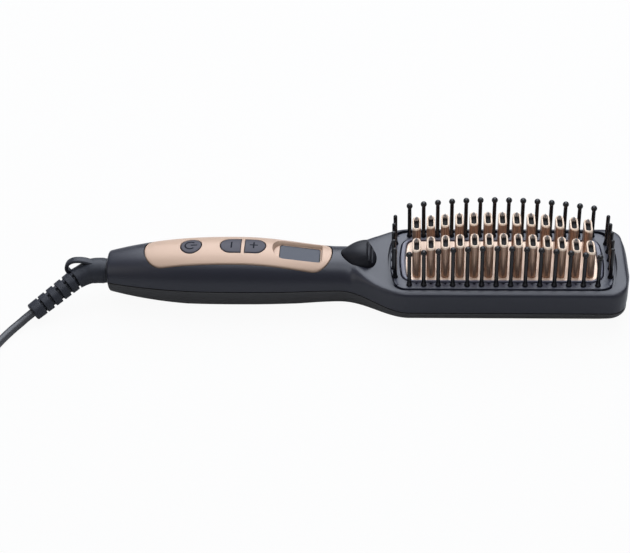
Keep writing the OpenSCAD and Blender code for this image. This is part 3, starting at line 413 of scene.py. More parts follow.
def guard_rings():
    """Rings along the sleeve and elbow, then a tail of 4.5 mm ribs and 1.5 mm slots, the last rib
    longer. Each slot is bridged by two webs, on top and below."""
    sleeve = through_points([(-151.3, 0, 18.7), (-153.0, 0, 18.7), (-158.0, 0, 18.7),
                             (-161.6, -0.8, 18.35), (-165.4, -2.5, 17.5),
                             tuple(elbow_end - tail_way * 0.6), tuple(elbow_end - tail_way * 0.45)], 12)
    along = np.linspace(0, 1, len(sleeve))
    sleeve_r = np.interp(along, [0, 0.03, 0.06, 0.3, 0.45, 0.62, 0.82, 1.0],
                         [7.1, 7.4, 7.5, 7.5, 7.35, 6.75, 6.3, 6.15])
    s = np.linspace(-LEAD, tail_len, 190)
    tail = elbow_end + tail_way * s[:, None]
    a = 2 * np.pi * np.arange(64) / 64
    phase = (s + LEAD) % RIB_PITCH
    edge = np.clip(np.minimum(phase, SLOT + SLOT_EDGE - phase) / SLOT_EDGE, 0, 1) * (s < LAST_SLOT)
    web = ease((np.abs(np.sin(a))[None, :] - 0.955) / 0.03)
    rib = np.interp(s, [0, tail_len], [6.0, 5.35])
    blunt = np.clip(np.minimum(phase - SLOT, RIB_PITCH - phase) / 0.35, 0, 1)
    rib = rib - 0.22 * (1 - blunt) ** 2 * (phase > SLOT) * (s < LAST_RIB)
    radius = rib[:, None] - (rib - CORE_R)[:, None] * edge[:, None] * (1 - 0.86 * web)
    radius = radius - 0.6 * (1 - np.clip((tail_len - s) / 0.8, 0, 1))[:, None] ** 2
    first = np.repeat(sleeve_r[:, None], 64, axis=1)
    return tube_rings(np.vstack([sleeve, tail]), np.vstack([first, radius]), 64)


def strap_rings(points, half_thick, half_wide, cuts=8, sides=24):
    """A flat strap bent in the XZ plane: rounded rectangles square to its line, wide along Y."""
    line = through_points(points, cuts)
    ahead = unit(np.gradient(line, axis=0))
    wide = np.array([0, 1.0, 0])
    out = np.cross(ahead, wide)
    a = 2 * np.pi * np.arange(sides) / sides
    u, v = signed_power(np.cos(a), 0.6), signed_power(np.sin(a), 0.6)
    return (line[:, None, :] + out[:, None, :] * (half_thick * u)[None, :, None]
            + wide * (half_wide * v)[None, :, None])


guard_finish = rubber("guard_rubber", (0.018, 0.020, 0.027), 0.44, 1300, 0.00003, 0.0, 0.28)
eye = strap_rings([(-158.5, -0.4, 24.6), (-160.5, -0.4, 25.3), (-163.5, -0.4, 26.4), (-167.0, -0.4, 26.9),
                   (-170.8, -0.4, 26.5), (-173.8, -0.4, 24.6), (-175.2, -0.4, 21.6), (-174.5, -0.4, 18.7),
                   (-172.0, -0.4, 16.6), (-169.5, -1.4, 15.4), (-168.5, -1.8, 15.0)], 1.1, 2.3)
as_piece(as_mesh("cord_guard_rubber", skin(guard_rings()), skin(eye)), guard_finish, "swivel",
         "guard_rubber", "cord_guard")

# ---- Body outline ----
# The two housings share one outline: a round handle that swells to the grip and narrows to a
# neck, and a flat head with rounded, slightly bowed end. They meet on one parting line.
X_BUTT, X_TIP = -151.0, 151.0
X_GRIP, X_NECK, X_HEAD = X_BUTT + 75, X_BUTT + 136, X_BUTT + 176
W_BUTT, W_GRIP, W_NECK, W_HEAD = 22.3, 39.0, 31.4, 62.0
MID_BUTT, MID_GRIP, MID_NECK, MID_HEAD = 18.7, 18.6, 16.8, 13.4
HEAD_TOP, DECK_TOP, PLATE_TOP = 27.6, 27.3, 27.0
TIP_R, TIP_BOW, TIP_LEAN, BACK_RISE = 10.0, 2.8, 5.0, 21.0
X_CORNER, TIP_FLAT = X_TIP - TIP_BOW - TIP_R, W_HEAD / 2 - TIP_R
CREST_RUN, BELLY_RUN, SQUARE_RUN = 26, 30, 24
ROUND = 2.15
WALL = 2.0
X_RIM, RIM_R = X_BUTT + 0.8, 1.4


def mix(a, b, t):
    """From a to b as t goes from 0 to 1."""
    return a + (b - a) * t


def share(x, start, end):
    """How far x has come from start to end, as a part of the way."""
    return (x - start) / (end - start)


def half_width(x):
    """Half the width at x: power-law swell, two smooth steps, a corner arc and a bowed end."""
    grip = mix(W_BUTT, W_GRIP, 1 - np.clip(1 - share(x, X_BUTT, X_GRIP), 0, 1) ** 2.3) / 2
    waist = mix(W_GRIP, W_NECK, ease(np.clip(share(x, X_GRIP, X_NECK), 0, 1) ** 1.25)) / 2
    head = mix(W_NECK, W_HEAD, ease(share(x, X_NECK, X_HEAD))) / 2
    corner = TIP_FLAT + np.sqrt(np.clip(TIP_R ** 2 - (x - X_CORNER) ** 2, 0, None))
    bow = TIP_FLAT * np.sqrt(np.clip((X_TIP - x) / TIP_BOW, 0, None))
    return np.select([x <= X_GRIP, x <= X_NECK, x <= X_CORNER, x <= X_TIP - TIP_BOW],
                     [grip, waist, head, corner], bow)


def parting(x):
    """Height of the parting line: smooth steps from butt to grip, neck and head."""
    return np.select([x <= X_GRIP, x <= X_NECK],
                     [mix(MID_BUTT, MID_GRIP, ease(share(x, X_BUTT, X_GRIP))),
                      mix(MID_GRIP, MID_NECK, ease(share(x, X_GRIP, X_NECK)))],
                     mix(MID_NECK, MID_HEAD, ease(share(x, X_NECK, X_HEAD))))


def crest(x):
    """Height of the top: half a circle over the handle, the flat of the head, a cubed lean at the tip."""
    lean = np.clip((x - X_TIP + TIP_LEAN) / TIP_LEAN, 0, 1)
    level = mix(MID_NECK + W_NECK / 2, HEAD_TOP, ease((x - X_NECK) / CREST_RUN))
    return np.select([x <= X_NECK, x <= X_TIP - TIP_LEAN], [parting(x) + half_width(x), level],
                     MID_HEAD + (HEAD_TOP - MID_HEAD) * (1 - lean ** 3) ** (1 / 3))


def belly(x):
    """Height of the underside, never below the table, rounding up at the tip."""
    rise = np.clip((x - X_TIP + BACK_RISE) / BACK_RISE, 0, 1)
    return np.select([x <= X_NECK, x <= X_TIP - BACK_RISE],
                     [np.maximum(0, parting(x) - half_width(x)),
                      np.maximum(0, mix(MID_NECK - W_NECK / 2, 0, ease((x - X_NECK) / BELLY_RUN)))],
                     MID_HEAD * (1 - (1 - rise ** 2.5) ** 0.4))


def squareness(x, up):
    """Superellipse exponent of the section: round on the handle, square over the head."""
    return (mix(ROUND, 12.0, ease((x - X_NECK - 6) / SQUARE_RUN)) if up > 0
            else mix(ROUND, 2.1, ease((x - X_NECK) / BELLY_RUN)))


def body_stations():
    """X of the rings: by equal angles round the butt's rim, even along the body, and by equal
    angles round the tip's corner and bow."""
    turn = np.linspace(0, np.pi / 2, 22)
    return np.concatenate([X_RIM + RIM_R * (1 - np.cos(turn[::3])),
                           np.linspace(X_RIM + RIM_R, X_HEAD, 130)[1:-1],
                           np.linspace(X_HEAD, X_CORNER, 24)[:-1], (X_CORNER + TIP_R * np.sin(turn))[:-1],
                           X_TIP - TIP_BOW * np.cos(turn[:-1]) ** 2, [X_TIP - 0.01]])


def rim_inset(x):
    """How far the quarter round at the butt draws the outer skin in at x."""
    return RIM_R * (1 - np.sqrt(1 - np.clip(1 - (x - X_RIM) / RIM_R, 0, 1) ** 2))


def shell_rings(x, inset, up, steps=72, seam=0.0, edge_round=0.0):
    """Half sections as superellipse arcs over the parting line, moved in by inset; the first and
    last point drop to the seam, with a small round along the outer edge of the seam."""
    ahead = np.minimum(x + inset, X_TIP)
    half = np.maximum(0.3, np.minimum(half_width(x), half_width(ahead)) - inset)
    mid = parting(x)
    rise = (np.minimum(crest(x), crest(ahead)) if up > 0 else np.maximum(belly(x), belly(ahead)))
    rise = np.maximum(0.2, up * (rise - mid) - inset)
    n = squareness(x, up)
    a = np.linspace(0, np.pi, steps + 1)
    c, s = np.cos(a)[None, :], np.clip(np.sin(a), 0, 1)[None, :]
    y = half[:, None] * signed_power(c, 2 / n[:, None])
    z = mid[:, None] + up * rise[:, None] * s ** (2 / n[:, None])
    low = (mid + up * seam)[:, None]
    pull = 1 - edge_round / np.maximum(half, 1)[:, None]
    y = np.concatenate([y[:, :1] * pull, y[:, :1], y[:, 1:-1], y[:, -1:], y[:, -1:] * pull], 1)
    first = low + up * edge_round
    z = np.concatenate([low, first, np.maximum(up * z[:, 1:-1], up * first) * up, first, low], 1)
    return np.stack([np.repeat(x[:, None], y.shape[1], 1), y, z], -1)


def surface_z(x, y, up=1):
    """Height of the outer skin at x, y, from the superellipse of the section."""
    n = squareness(x, up)
    reach = np.clip(1 - np.abs(y / half_width(x)) ** n, 0, 1) ** (1 / n)
    return parting(x) + ((crest(x) if up > 0 else belly(x)) - parting(x)) * reach


def pad(cx, hx, hy, r, bow, arc=10, end=12):
    """Outline of a pad: four corner arcs joined by straight sides and gently bowed ends."""
    ix, iy = hx - bow - r, hy - r
    q = np.linspace(0, np.pi / 2, arc + 1)
    t = np.linspace(1, -1, end + 2)[1:-1]
    right_top = np.stack([cx + ix + r * np.cos(q), iy + r * np.sin(q)], 1)
    left_top = np.stack([cx - ix - r * np.sin(q), iy + r * np.cos(q)], 1)
    left_end = np.stack([cx - hx + bow * t ** 2, iy * t], 1)
    left_low = np.stack([cx - ix - r * np.cos(q), -iy - r * np.sin(q)], 1)
    right_low = np.stack([cx + ix + r * np.sin(q), -iy - r * np.cos(q)], 1)
    right_end = np.stack([cx + hx - bow * t ** 2, -iy * t], 1)
    return np.vstack([right_top, left_top, left_end, left_low, right_low, right_end])


def inward(outline, d):
    """The outline moved in by d along its own normals."""
    ahead = unit(np.roll(outline, -1, 0) - np.roll(outline, 1, 0))
    return outline + np.stack([-ahead[:, 1], ahead[:, 0]], 1) * d


def resampled(outline, count):
    """The same outline with count points evenly along it."""
    loop = np.vstack([outline, outline[:1]])
    run = np.concatenate([[0], np.cumsum(np.linalg.norm(np.diff(loop, axis=0), axis=1))])
    s = np.linspace(0, run[-1], count, endpoint=False)
    return np.stack([np.interp(s, run, loop[:, 0]), np.interp(s, run, loop[:, 1])], 1)


def laid_plate(outline, top, bottom, edge=0.3, rings=12):
    """A plate that follows top(x, y): rings shrink to the middle, a quarter round of radius edge
    turns down to the side, and bottom(x, y) closes it below."""
    centre = outline.mean(0)
    inner = inward(outline, edge)
    shrink = np.linspace(0.02, 1, rings) ** 0.8
    levels = [(centre + (inner - centre) * k, 0.0) for k in shrink]
    for a in np.linspace(0, np.pi / 2, 6)[1:]:
        levels.append((inward(outline, edge * (1 - np.sin(a))), edge * (1 - np.cos(a))))
    stack = [np.column_stack([p, top(p[:, 0], p[:, 1]) - drop]) for p, drop in levels]
    for k in [1.0, *shrink[::-1]]:
        p = centre + (outline - centre) * k
        stack.append(np.column_stack([p, bottom(p[:, 0], p[:, 1])]))
    return np.stack(stack)


def at_heights(rows):
    """Level rings from pairs of outline and height."""
    return np.stack([np.column_stack([outline, np.full(len(outline), z)]) for outline, z in rows])


def prism(outline, z0, z1):
    """Straight walls over an outline."""
    return at_heights([(outline, z0), (outline, z1)])


def circle_outline(x, y, r, count=64):
    """A circle as an outline."""
    a = 2 * np.pi * np.arange(count) / count
    return np.stack([x + r * np.cos(a), y + r * np.sin(a)], 1)


def carved(mesh, cutters):
    """The mesh after each cutter mesh has been taken from it, as a new mesh."""
    work = bpy.data.objects.new("work", mesh)
    bpy.context.scene.collection.objects.link(work)
    tools = []
    for cutter in cutters:
        tool = bpy.data.objects.new("tool", cutter)
        bpy.context.scene.collection.objects.link(tool)
        step = work.modifiers.new("cut", "BOOLEAN")
        step.operation, step.object, step.solver = "DIFFERENCE", tool, "MANIFOLD"
        tools.append(tool)
    graph = bpy.context.evaluated_depsgraph_get()
    made = bpy.data.meshes.new_from_object(work.evaluated_get(graph))
    made.name = mesh.name
    for item in (*tools, work):
        bpy.data.objects.remove(item)
    return made


# ---- Upper housing ----
# The visible shell of handle and head, moulded in ABS with a soft-touch coat. It has a pocket for
# the gold panel, holes for keys, display and thumb key, and a wide opening for the bristle panel.
STEAM_X0, STEAM_X1, RIDGE_X = X_BUTT + 137, X_BUTT + 157, X_BUTT + 151.5
TEAR_W, TEAR_REAR, TEAR_FRONT = 9.6, RIDGE_X - STEAM_X0, STEAM_X1 - RIDGE_X
PANEL_X, PANEL_HALF, PANEL_W = X_BUTT + 77.3, 54.3, 12.3
POWER_X, ROCKER_X, DISPLAY_X = X_BUTT + 50.3, X_BUTT + 80.4, X_BUTT + 113
KEY_R, ROCKER_HALF = 5.9, 13.0
BAY_X0 = DISPLAY_X - 15.2
DECK_MID, DECK_HALF, DECK_HALF_W = 78.2, 65.2, 27.0


def soft_touch(name, colour, rough=0.42, shine=0.5):
    """Soft-touch coating: a very fine grain and slow shifts of tone and gloss from handling."""
    return grained(name, tones(colour, 0.92, 1.08), (16, 4), (2600, 2), (rough - 0.08, 0.1, 0.06),
                   (0.22, 0.00002), Specular_IOR_Level=shine)


def tear_half(x):
    """Half the thumb key's width: a blunt swell up to the ridge, a square-shouldered curve after it."""
    rear = TEAR_W * np.sin(np.pi / 2 * np.clip((x - STEAM_X0) / TEAR_REAR, 0, 1)) ** 0.52
    front = TEAR_W * np.clip(1 - np.clip((x - RIDGE_X) / TEAR_FRONT, 0, 1) ** 2.3, 0, 1) ** 0.5
    return np.where(x <= RIDGE_X, rear, front)


def tear_stations():
    """X of the key's sections, closer where its outline turns fast."""
    return np.concatenate([mix(STEAM_X0, RIDGE_X, np.linspace(0, 1, 46) ** 2.2),
                           RIDGE_X + TEAR_FRONT * np.sin(np.linspace(0, np.pi / 2, 40)[1:]) ** 0.9])


def tear_outline(grow):
    """The thumb key's outline, moved out by grow."""
    x = tear_stations()
    side = np.stack([x, tear_half(x)], 1)
    return inward(np.vstack([side * (1, -1), side[-2:0:-1]]), -grow)


def rocker_outline(grow, count=64):
    """The long hole shared by minus and plus."""
    r, reach = KEY_R + grow, ROCKER_HALF - KEY_R
    q = np.linspace(-np.pi / 2, np.pi / 2, count // 2)
    right = np.stack([ROCKER_X + reach + r * np.cos(q), r * np.sin(q)], 1)
    return np.vstack([right, [2 * ROCKER_X, 0] - right])


def bay_block(x):
    """How much thicker the panel is round the display bay than elsewhere."""
    return 2.6 * ease((x - BAY_X0 + 5) / 3)


def flat(z):
    """A level surface at z."""
    return lambda x, y: np.full(np.shape(x), float(z))


def hollow(up):
    """What the wall leaves free in the upper (up 1) or lower (up -1) shell."""
    x = np.concatenate([[X_BUTT + 3], stations[(stations > X_BUTT + 4) & (stations < X_TIP - 2.05)],
                        [X_TIP - 2.03]])
    return as_mesh("hollow", skin(shell_rings(x, WALL, up, 48, seam=-2.0)))


def butt_bore():
    """The round hole in the butt for the swivel, half in each shell."""
    start = (X_BUTT - 1, 0, MID_BUTT)
    return as_mesh("butt_bore", skin(turned([(0, 8.2), (6, 8.2)], start, (1, 0, 0), 64)))


stations = body_stations()
pocket = resampled(pad(PANEL_X, PANEL_HALF + 0.6, PANEL_W + 0.6, 11.8, 0.15), 240)
upper_cuts = [
    hollow(1),
    as_mesh("panel_pocket", skin(laid_plate(pocket, lambda x, y: surface_z(x, y) + 3,
                                            lambda x, y: surface_z(x, y) - 1.5 - bay_block(x)))),
    *[as_mesh(name, skin(prism(outline, low, high))) for name, outline, low, high in (
        ("deck_opening", pad(DECK_MID, DECK_HALF + 0.3, DECK_HALF_W + 0.3, 8, 2.4), 24.8, 40),
        ("power_hole", circle_outline(POWER_X, 0, KEY_R + 0.6), 24, 60),
        ("rocker_hole", rocker_outline(0.6), 24, 60),
        ("display_hole", pad(DISPLAY_X, 11.0, 7.2, 1.2, 0), 20, 60),
        ("thumb_hole", tear_outline(0.3), 18, 60))],
    butt_bore(),
]
shell = skin(shell_rings(stations, rim_inset(stations), 1, edge_round=0.35))
as_piece(carved(as_mesh("upper_housing_shell", shell), upper_cuts),
         soft_touch("soft_touch_upper", (0.0085, 0.0095, 0.018), 0.36), "housing", "housing_upper",
         "upper_housing")

# ---- Back cover ----
# The lower shell, moulded in the same plastic, a little browner and duller. Seven screws pull it
# to the upper housing through sunk holes, and a rubber plug closes the filler hole of the tank.
SCREW_R, SCREW_HEAD_R, SCREW_HEAD_H = 1.4, 2.6, 1.8
FILLER_X = X_BUTT + 62
screw_sites = [(X_BUTT + 22, 0), (X_BUTT + 133.2, -8.4), (X_BUTT + 133.2, 8.4), (X_BUTT + 159.5, -15),
               (X_BUTT + 159.5, 15), (X_TIP - 7.5, -14), (X_TIP - 7.5, 14)]


def screw_seat(x, y):
    """Where a screw's head bears: a head's height and a little more over the skin round it."""
    edge = np.array([x - SCREW_HEAD_R, x + SCREW_HEAD_R])
    return SCREW_HEAD_H + 0.4 + surface_z(edge, np.full(2, abs(y) + SCREW_HEAD_R), -1).max()


back_cuts = [
    hollow(-1),
    butt_bore(),
    as_mesh("filler_sink", skin(turned([(0, 5.15), (2.4, 5.15)], (FILLER_X, 0, -1), (0, 0, 1), 48))),
    as_mesh("filler_hole", skin(turned([(0, 3.65), (6, 3.65)], (FILLER_X, 0, -1), (0, 0, 1), 48))),
    *[as_mesh("screw_hole", skin(turned(
        [(0, SCREW_HEAD_R + 0.1), (screw_seat(x, y) + 1, SCREW_HEAD_R + 0.1)], (x, y, -1), (0, 0, 1), 40)))
      for x, y in screw_sites],
]
shell = skin(shell_rings(stations, rim_inset(stations), -1, seam=0.5, edge_round=0.35))
as_piece(carved(as_mesh("back_cover_shell", shell), back_cuts),
         soft_touch("soft_touch_lower", (0.017, 0.0165, 0.018)), "housing", "housing_lower", "back_cover")


def screw_skin(x, y):
    """A pan-head screw from below: a rounded head with a round drive sunk in it, and its shank."""
    seat = screw_seat(x, y)
    end = float(parting(np.array(x))) + 6 - seat
    profile = [(0.9 - SCREW_HEAD_H, 0.0), (0.9 - SCREW_HEAD_H, 0.8), (-SCREW_HEAD_H, 0.95), (-1.78, 1.6),
               (-1.5, 2.35), (-1.1, SCREW_HEAD_R), (0.0, SCREW_HEAD_R), (0.0, SCREW_R), (end, SCREW_R),
               (end + 0.2, 0.0)]
    return skin(turned(profile, (x, y, seat), (0, 0, 1), 36), capped=False)


as_piece(as_mesh("housing_screw_set", *[screw_skin(x, y) for x, y in screw_sites]),
         bright_metal("zinc_plate", (0.62, 0.63, 0.66), 0.3), "housing", "screw_steel", "housing_screws")

plug_rows = [(0.4, 0.0), (0.4, 2.2), (0.75, 2.45), (0.75, 3.3), (0.4, 3.55), (0.42, 4.6), (0.6, 4.95),
             (1.2, 5.0), (1.3, 4.9), (1.3, 3.5), (4.4, 3.5), (4.7, 3.2), (4.7, 0.0)]
stopper = turned(plug_rows, (FILLER_X, 0, 0), (0, 0, 1), 48)
as_piece(as_mesh("tank_filler_plug", skin(stopper, capped=False)),
         rubber("filler_rubber", (0.03, 0.03, 0.032), 0.55), "filler_plug", "plug_rubber", "tank_plug")

# ---- Control panel ----
# A curved trim of metallised plastic in champagne gold, snapped into the housing's pocket. It has
# holes for the keys and a sunk bay, round at its rear end, in which the display window sits.
WINDOW_HALF, BAR = 12.0, 0.9
BAY_DEPTH, BAY_W, BAY_END = 1.9, 6.8, 6.0


def satin_gold(name, colour, rough, metal):
    """Vacuum-metallised plastic under a satin lacquer: very fine sparkle and slow shifts of tone."""
    return grained(name, tones(colour, 0.94, 1.05), (24, 3), (3800, 2), (rough - 0.09, 0.08, 0.1),
                   (0.15, 0.00002), Metallic=metal, Specular_IOR_Level=0.3)


def bay_floor(x):
    """The bay's floor: level across the handle, and it follows the handle's slope along it."""
    return surface_z(x, np.full(np.shape(x), 7.8)) - BAY_DEPTH


def bay_outline(grow):
    """The display bay: straight sides, small corners at the front, nearly a half round at the rear.
    Its ends grow by 0.35 of what its sides do, so they are steeper."""
    front = pad(DISPLAY_X, WINDOW_HALF + 0.3 + 0.35 * grow, BAY_W + grow, 1.2 + grow / 2, 0)
    q = np.linspace(np.pi / 2, 3 * np.pi / 2, 28)
    rear = np.stack([BAY_X0 + 6.4 + (BAY_END + 0.35 * grow) * np.cos(q), (BAY_W + grow) * np.sin(q)], 1)
    keep = front[front[:, 0] > DISPLAY_X]
    low, high = keep[keep[:, 1] < 0], keep[keep[:, 1] > 0]
    return resampled(np.vstack([high[np.argsort(high[:, 1])], rear, low[np.argsort(low[:, 1])]]), 160)


def bay_cutter():
    """The bay's hollow: its walls lean out from the floor, more and more towards the skin."""
    first = bay_outline(0)
    centre, floor = first.mean(0), bay_floor(first[:, 0])
    rings = [centre + (first - centre) * k for k in (0.02, 0.5, 1)]
    rows = [np.column_stack([p, bay_floor(p[:, 0])]) for p in rings]
    rows += [np.column_stack([bay_outline(grow), floor + up])
             for grow, up in ((0.12, 0.45), (0.7, 1.3), (1.5, 2.2), (2.6, 3.6), (2.6, 9))]
    return np.stack(rows)


def half_rocker(grow, gap, side):
    """The half of the long hole past gap on one side (1 plus, -1 minus), cut straight there."""
    whole, edge = rocker_outline(grow), ROCKER_X + side * gap
    kept = whole[side * (whole[:, 0] - edge) > 0]
    return np.vstack([kept, [(edge, side * (KEY_R + grow)), (edge, -side * (KEY_R + grow))]])


panel_skin = laid_plate(resampled(pad(PANEL_X, PANEL_HALF, PANEL_W, 11.2, 0.15), 240),
                        lambda x, y: surface_z(x, y) + 0.08,
                        lambda x, y: surface_z(x, y) - 1.35 - bay_block(x), 0.5, 26)
window_hole = resampled(pad(DISPLAY_X, WINDOW_HALF - 0.2, 6.5, 1.4, 0), 120)
panel_cuts = [
    as_mesh("power_hole", skin(prism(circle_outline(POWER_X, 0, KEY_R + 0.55), 20, 60))),
    *[as_mesh("rocker_hole", skin(prism(half_rocker(0.5, BAR, side), 20, 60))) for side in (1, -1)],
    as_mesh("bay", skin(bay_cutter())),
    as_mesh("window_hole", skin(prism(window_hole, 20, 60))),
]
as_piece(carved(as_mesh("gold_control_panel", skin(panel_skin)), panel_cuts),
         satin_gold("champagne_gold", (0.425, 0.300, 0.224), 0.42, 0.14), "housing", "panel_gold",
         "control_panel")

# ---- Keys ----
# Three moulded keys follow the crown of the handle and stand a little proud of the gold panel.
# Their marks are printed in dark ink: a standby sign, a minus and a plus.
key_finish = soft_touch("key_plastic", (0.052, 0.050, 0.062), 0.42, 0.16)
ink = rubber("key_ink", (0.004, 0.005, 0.009), 0.6, shine=0.06)


def key_cap(outline):
    """A cap on the handle's crown, 0.3 mm proud, with a soft round along its edge."""
    return skin(laid_plate(outline, lambda x, y: surface_z(x, y) + 0.3,
                           lambda x, y: surface_z(x, y) - 2.3, 0.5, 12))


def line_mark(points, width, lift=0.34):
    """A printed line on the crown: a thin ribbon of that width along the points."""
    p = np.asarray(points, float)
    ahead = unit(np.gradient(p, axis=0))
    side = np.stack([-ahead[:, 1], ahead[:, 0]], 1) * width / 2
    rows = np.stack([p - side, p + side], 1)
    top = surface_z(rows[..., 0], rows[..., 1]) + lift
    under = np.dstack([rows[:, ::-1], (top - 0.06)[:, ::-1]])
    return skin(np.concatenate([np.dstack([rows, top]), under], 1))


caps = {"power": circle_outline(POWER_X, 0, KEY_R, 96),
        "minus": resampled(half_rocker(0, BAR + 0.25, -1), 120),
        "plus": resampled(half_rocker(0, BAR + 0.25, 1), 120)}
for key, outline in caps.items():
    as_piece(as_mesh(key + "_key_cap", key_cap(outline)), key_finish, key + "_key", "keys", key + "_button")
MINUS_X, PLUS_X = ROCKER_X - 6.6, ROCKER_X + 6.3
arc = np.linspace(math.radians(48), math.radians(312), 40)
marks = {
    "power": [line_mark(np.stack([POWER_X - 0.4 + 3.0 * np.cos(arc), 3.0 * np.sin(arc)], 1), 0.85),
              line_mark(np.linspace((POWER_X - 0.2, 0), (POWER_X + 3.6, 0), 8), 0.85)],
    "minus": [line_mark(np.linspace((MINUS_X, -2.7), (MINUS_X, 2.7), 9), 0.8)],
    "plus": [line_mark(np.linspace((PLUS_X, -2.7), (PLUS_X, 2.7), 9), 0.8),
             line_mark(np.linspace((PLUS_X - 2.4, 0), (PLUS_X + 2.4, 0), 9), 0.8, 0.345)]}
for key, lines in marks.items():
    as_piece(as_mesh(key + "_mark", *lines), ink, key + "_key", "keys")

# ---- Display window ----
# A smoky acrylic window at the floor of the bay, over the dark display; it's blank when it's off.
acrylic = grained("smoked_window", [(0.024, 0.028, 0.040, 1), (0.034, 0.039, 0.053, 1)], (60, 2), (60, 2),
                  (0.26, 0.08, 0), None, Specular_IOR_Level=0.22)
window_outline = resampled(pad(DISPLAY_X, WINDOW_HALF - 0.5, 6.2, 1.3, 0), 120)
window = laid_plate(window_outline, lambda x, y: bay_floor(x) + 0.12, lambda x, y: bay_floor(x) - 0.9,
                    0.2, 10)
as_piece(as_mesh("smoked_display_window", skin(window)), acrylic, "housing", "display_glass",
         "display_window")

# ---- Thumb key ----
# The steam pump's key: a matt black dome that rises from the handle to a cross ridge, and falls
# steeply towards the head, where two hollow grooves give the fingertip its hold.
TEAR_TOP, TEAR_BASE, TEAR_FOOT = 38.4, 27.2, 24.7


def thumb_rings():
    """Sections across the body: superellipse domes over the key's width; the crest follows a
    quarter sine up to the ridge and a power curve down; two grooves sink into the front face."""
    x = tear_stations()
    half = np.maximum(tear_half(x), 0.1)
    rise = np.sin(np.pi / 2 * np.clip((x - STEAM_X0) / TEAR_REAR, 0, 1)) ** 0.9
    front = np.clip((x - RIDGE_X) / TEAR_FRONT, 0, 1)
    high = np.where(x <= RIDGE_X, mix(crest(np.array(STEAM_X0)) + 0.3, TEAR_TOP, rise),
                    mix(TEAR_TOP, crest(np.array(STEAM_X1)) - 0.2, front ** 1.25))
    groove = 0.9 * sum(np.exp(-((front - at) / 0.085) ** 2) for at in (0.26, 0.60))
    a = np.linspace(0, np.pi, 61)
    c, s = np.cos(a), np.clip(np.sin(a), 0, 1)
    y = half[:, None] * signed_power(c, 2 / 2.9)[None, :]
    z = TEAR_BASE + (high - TEAR_BASE)[:, None] * (s ** (2 / 2.9))[None, :]
    sink = groove[:, None] * ease((0.86 - np.abs(c))[None, :] / 0.2)
    rings = np.stack([np.repeat(x[:, None], 61, 1) - 0.6 * sink, y, z - sink], -1)
    foot = rings[:, [-1, 0]].copy()
    foot[:, :, 2] = TEAR_FOOT
    return np.concatenate([rings, foot], 1)


as_piece(as_mesh("thumb_steam_key", skin(thumb_rings())),
         soft_touch("thumb_black", (0.0065, 0.007, 0.0105), 0.48, 0.24), "steam_key", "thumb_key",
         "steam_button", sharp=50)

# ---- Bristle panel ----
# A flat insert of mid blue-grey plastic that carries the cool guard pins; a deep groove runs
# round it, and steam vents open beside each finger.
PIN_PITCH, FIELD_X = 8.16, X_BUTT + 229.2
PIN_ROW_Y, FINGER_ROW_Y = 22.5, 9.9
PLATE_X, FIELD_HALF = FIELD_X - 0.4, PIN_PITCH * 6.5
finger_xs = FIELD_X + (np.arange(13) - 6) * PIN_PITCH
pin_xs = FIELD_X + (np.arange(14) - 6.5) * PIN_PITCH


def crown(x):
    """How much the field's tips fall from their nominal height: 5.1 t^2 + 0.8 t - 1.2, with t from
    -1 to 1 along the field. It takes numbers or a Flow."""
    t = (x - FIELD_X) / FIELD_HALF
    return t * t * 5.1 + t * 0.8 - 1.2


def frame_rings(outer, inner, z_low, z_high, edge, flange=None):
    """A flat frame between two outlines: quarter rounds of radius edge along both upper edges, and
    under it, if given, a thin flange that reaches out below the housing's wall."""
    rows = []
    for a in np.linspace(0, np.pi / 2, 5):
        rows.append((inward(outer, edge * (1 - np.cos(a))), z_high - edge * (1 - np.sin(a))))
    for a in np.linspace(np.pi / 2, 0, 5):
        rows.append((inward(inner, -edge * (1 - np.cos(a))), z_high - edge * (1 - np.sin(a))))
    rows.append((inner, z_low))
    if flange is not None:
        rows += [(inner, z_low - 0.8), (flange, z_low - 0.8), (flange, z_low)]
    rows.append((outer, z_low))
    return at_heights(rows)


deck_edge = pad(DECK_MID, DECK_HALF - 1.1, DECK_HALF_W - 1.5, 7.2, 2.4, 16, 16)
deck_flange = pad(DECK_MID, DECK_HALF + 2.4, DECK_HALF_W + 1.6, 8.6, 2.4, 16, 16)
bezel_edge = pad(PLATE_X, 58.2, 19.95, 7.9, 0.8, 16, 16)
vent = np.array([(-0.9, 0.6), (0.9, 0.6), (0.0, -0.8)])
dash = np.array([(-1.3, -0.25), (1.3, -0.25), (1.3, 0.25), (-1.3, 0.25)])
vents = [skin(prism(vent * (1, s) + (x, -s * 21.3), 24.5, 30)) for x in finger_xs for s in (-1, 1)]
dashes = [skin(prism(dash @ np.array([(0.8, 0.6 * u * v), (-0.6 * u * v, 0.8)])
                     + (DECK_MID + u * 60.0, v * 22.4), 24.9, 30)) for u in (-1, 1) for v in (-1, 1)]
deck = skin(frame_rings(deck_edge, bezel_edge, 24.1, DECK_TOP, 0.5, deck_flange), closed=True)
as_piece(carved(as_mesh("bristle_panel_plate", deck), [as_mesh("vents", *vents, *dashes)]),
         soft_touch("bristle_panel_plastic", (0.020, 0.022, 0.036), 0.34, 0.55), "housing", "bristle_panel",
         "bristle_panel")

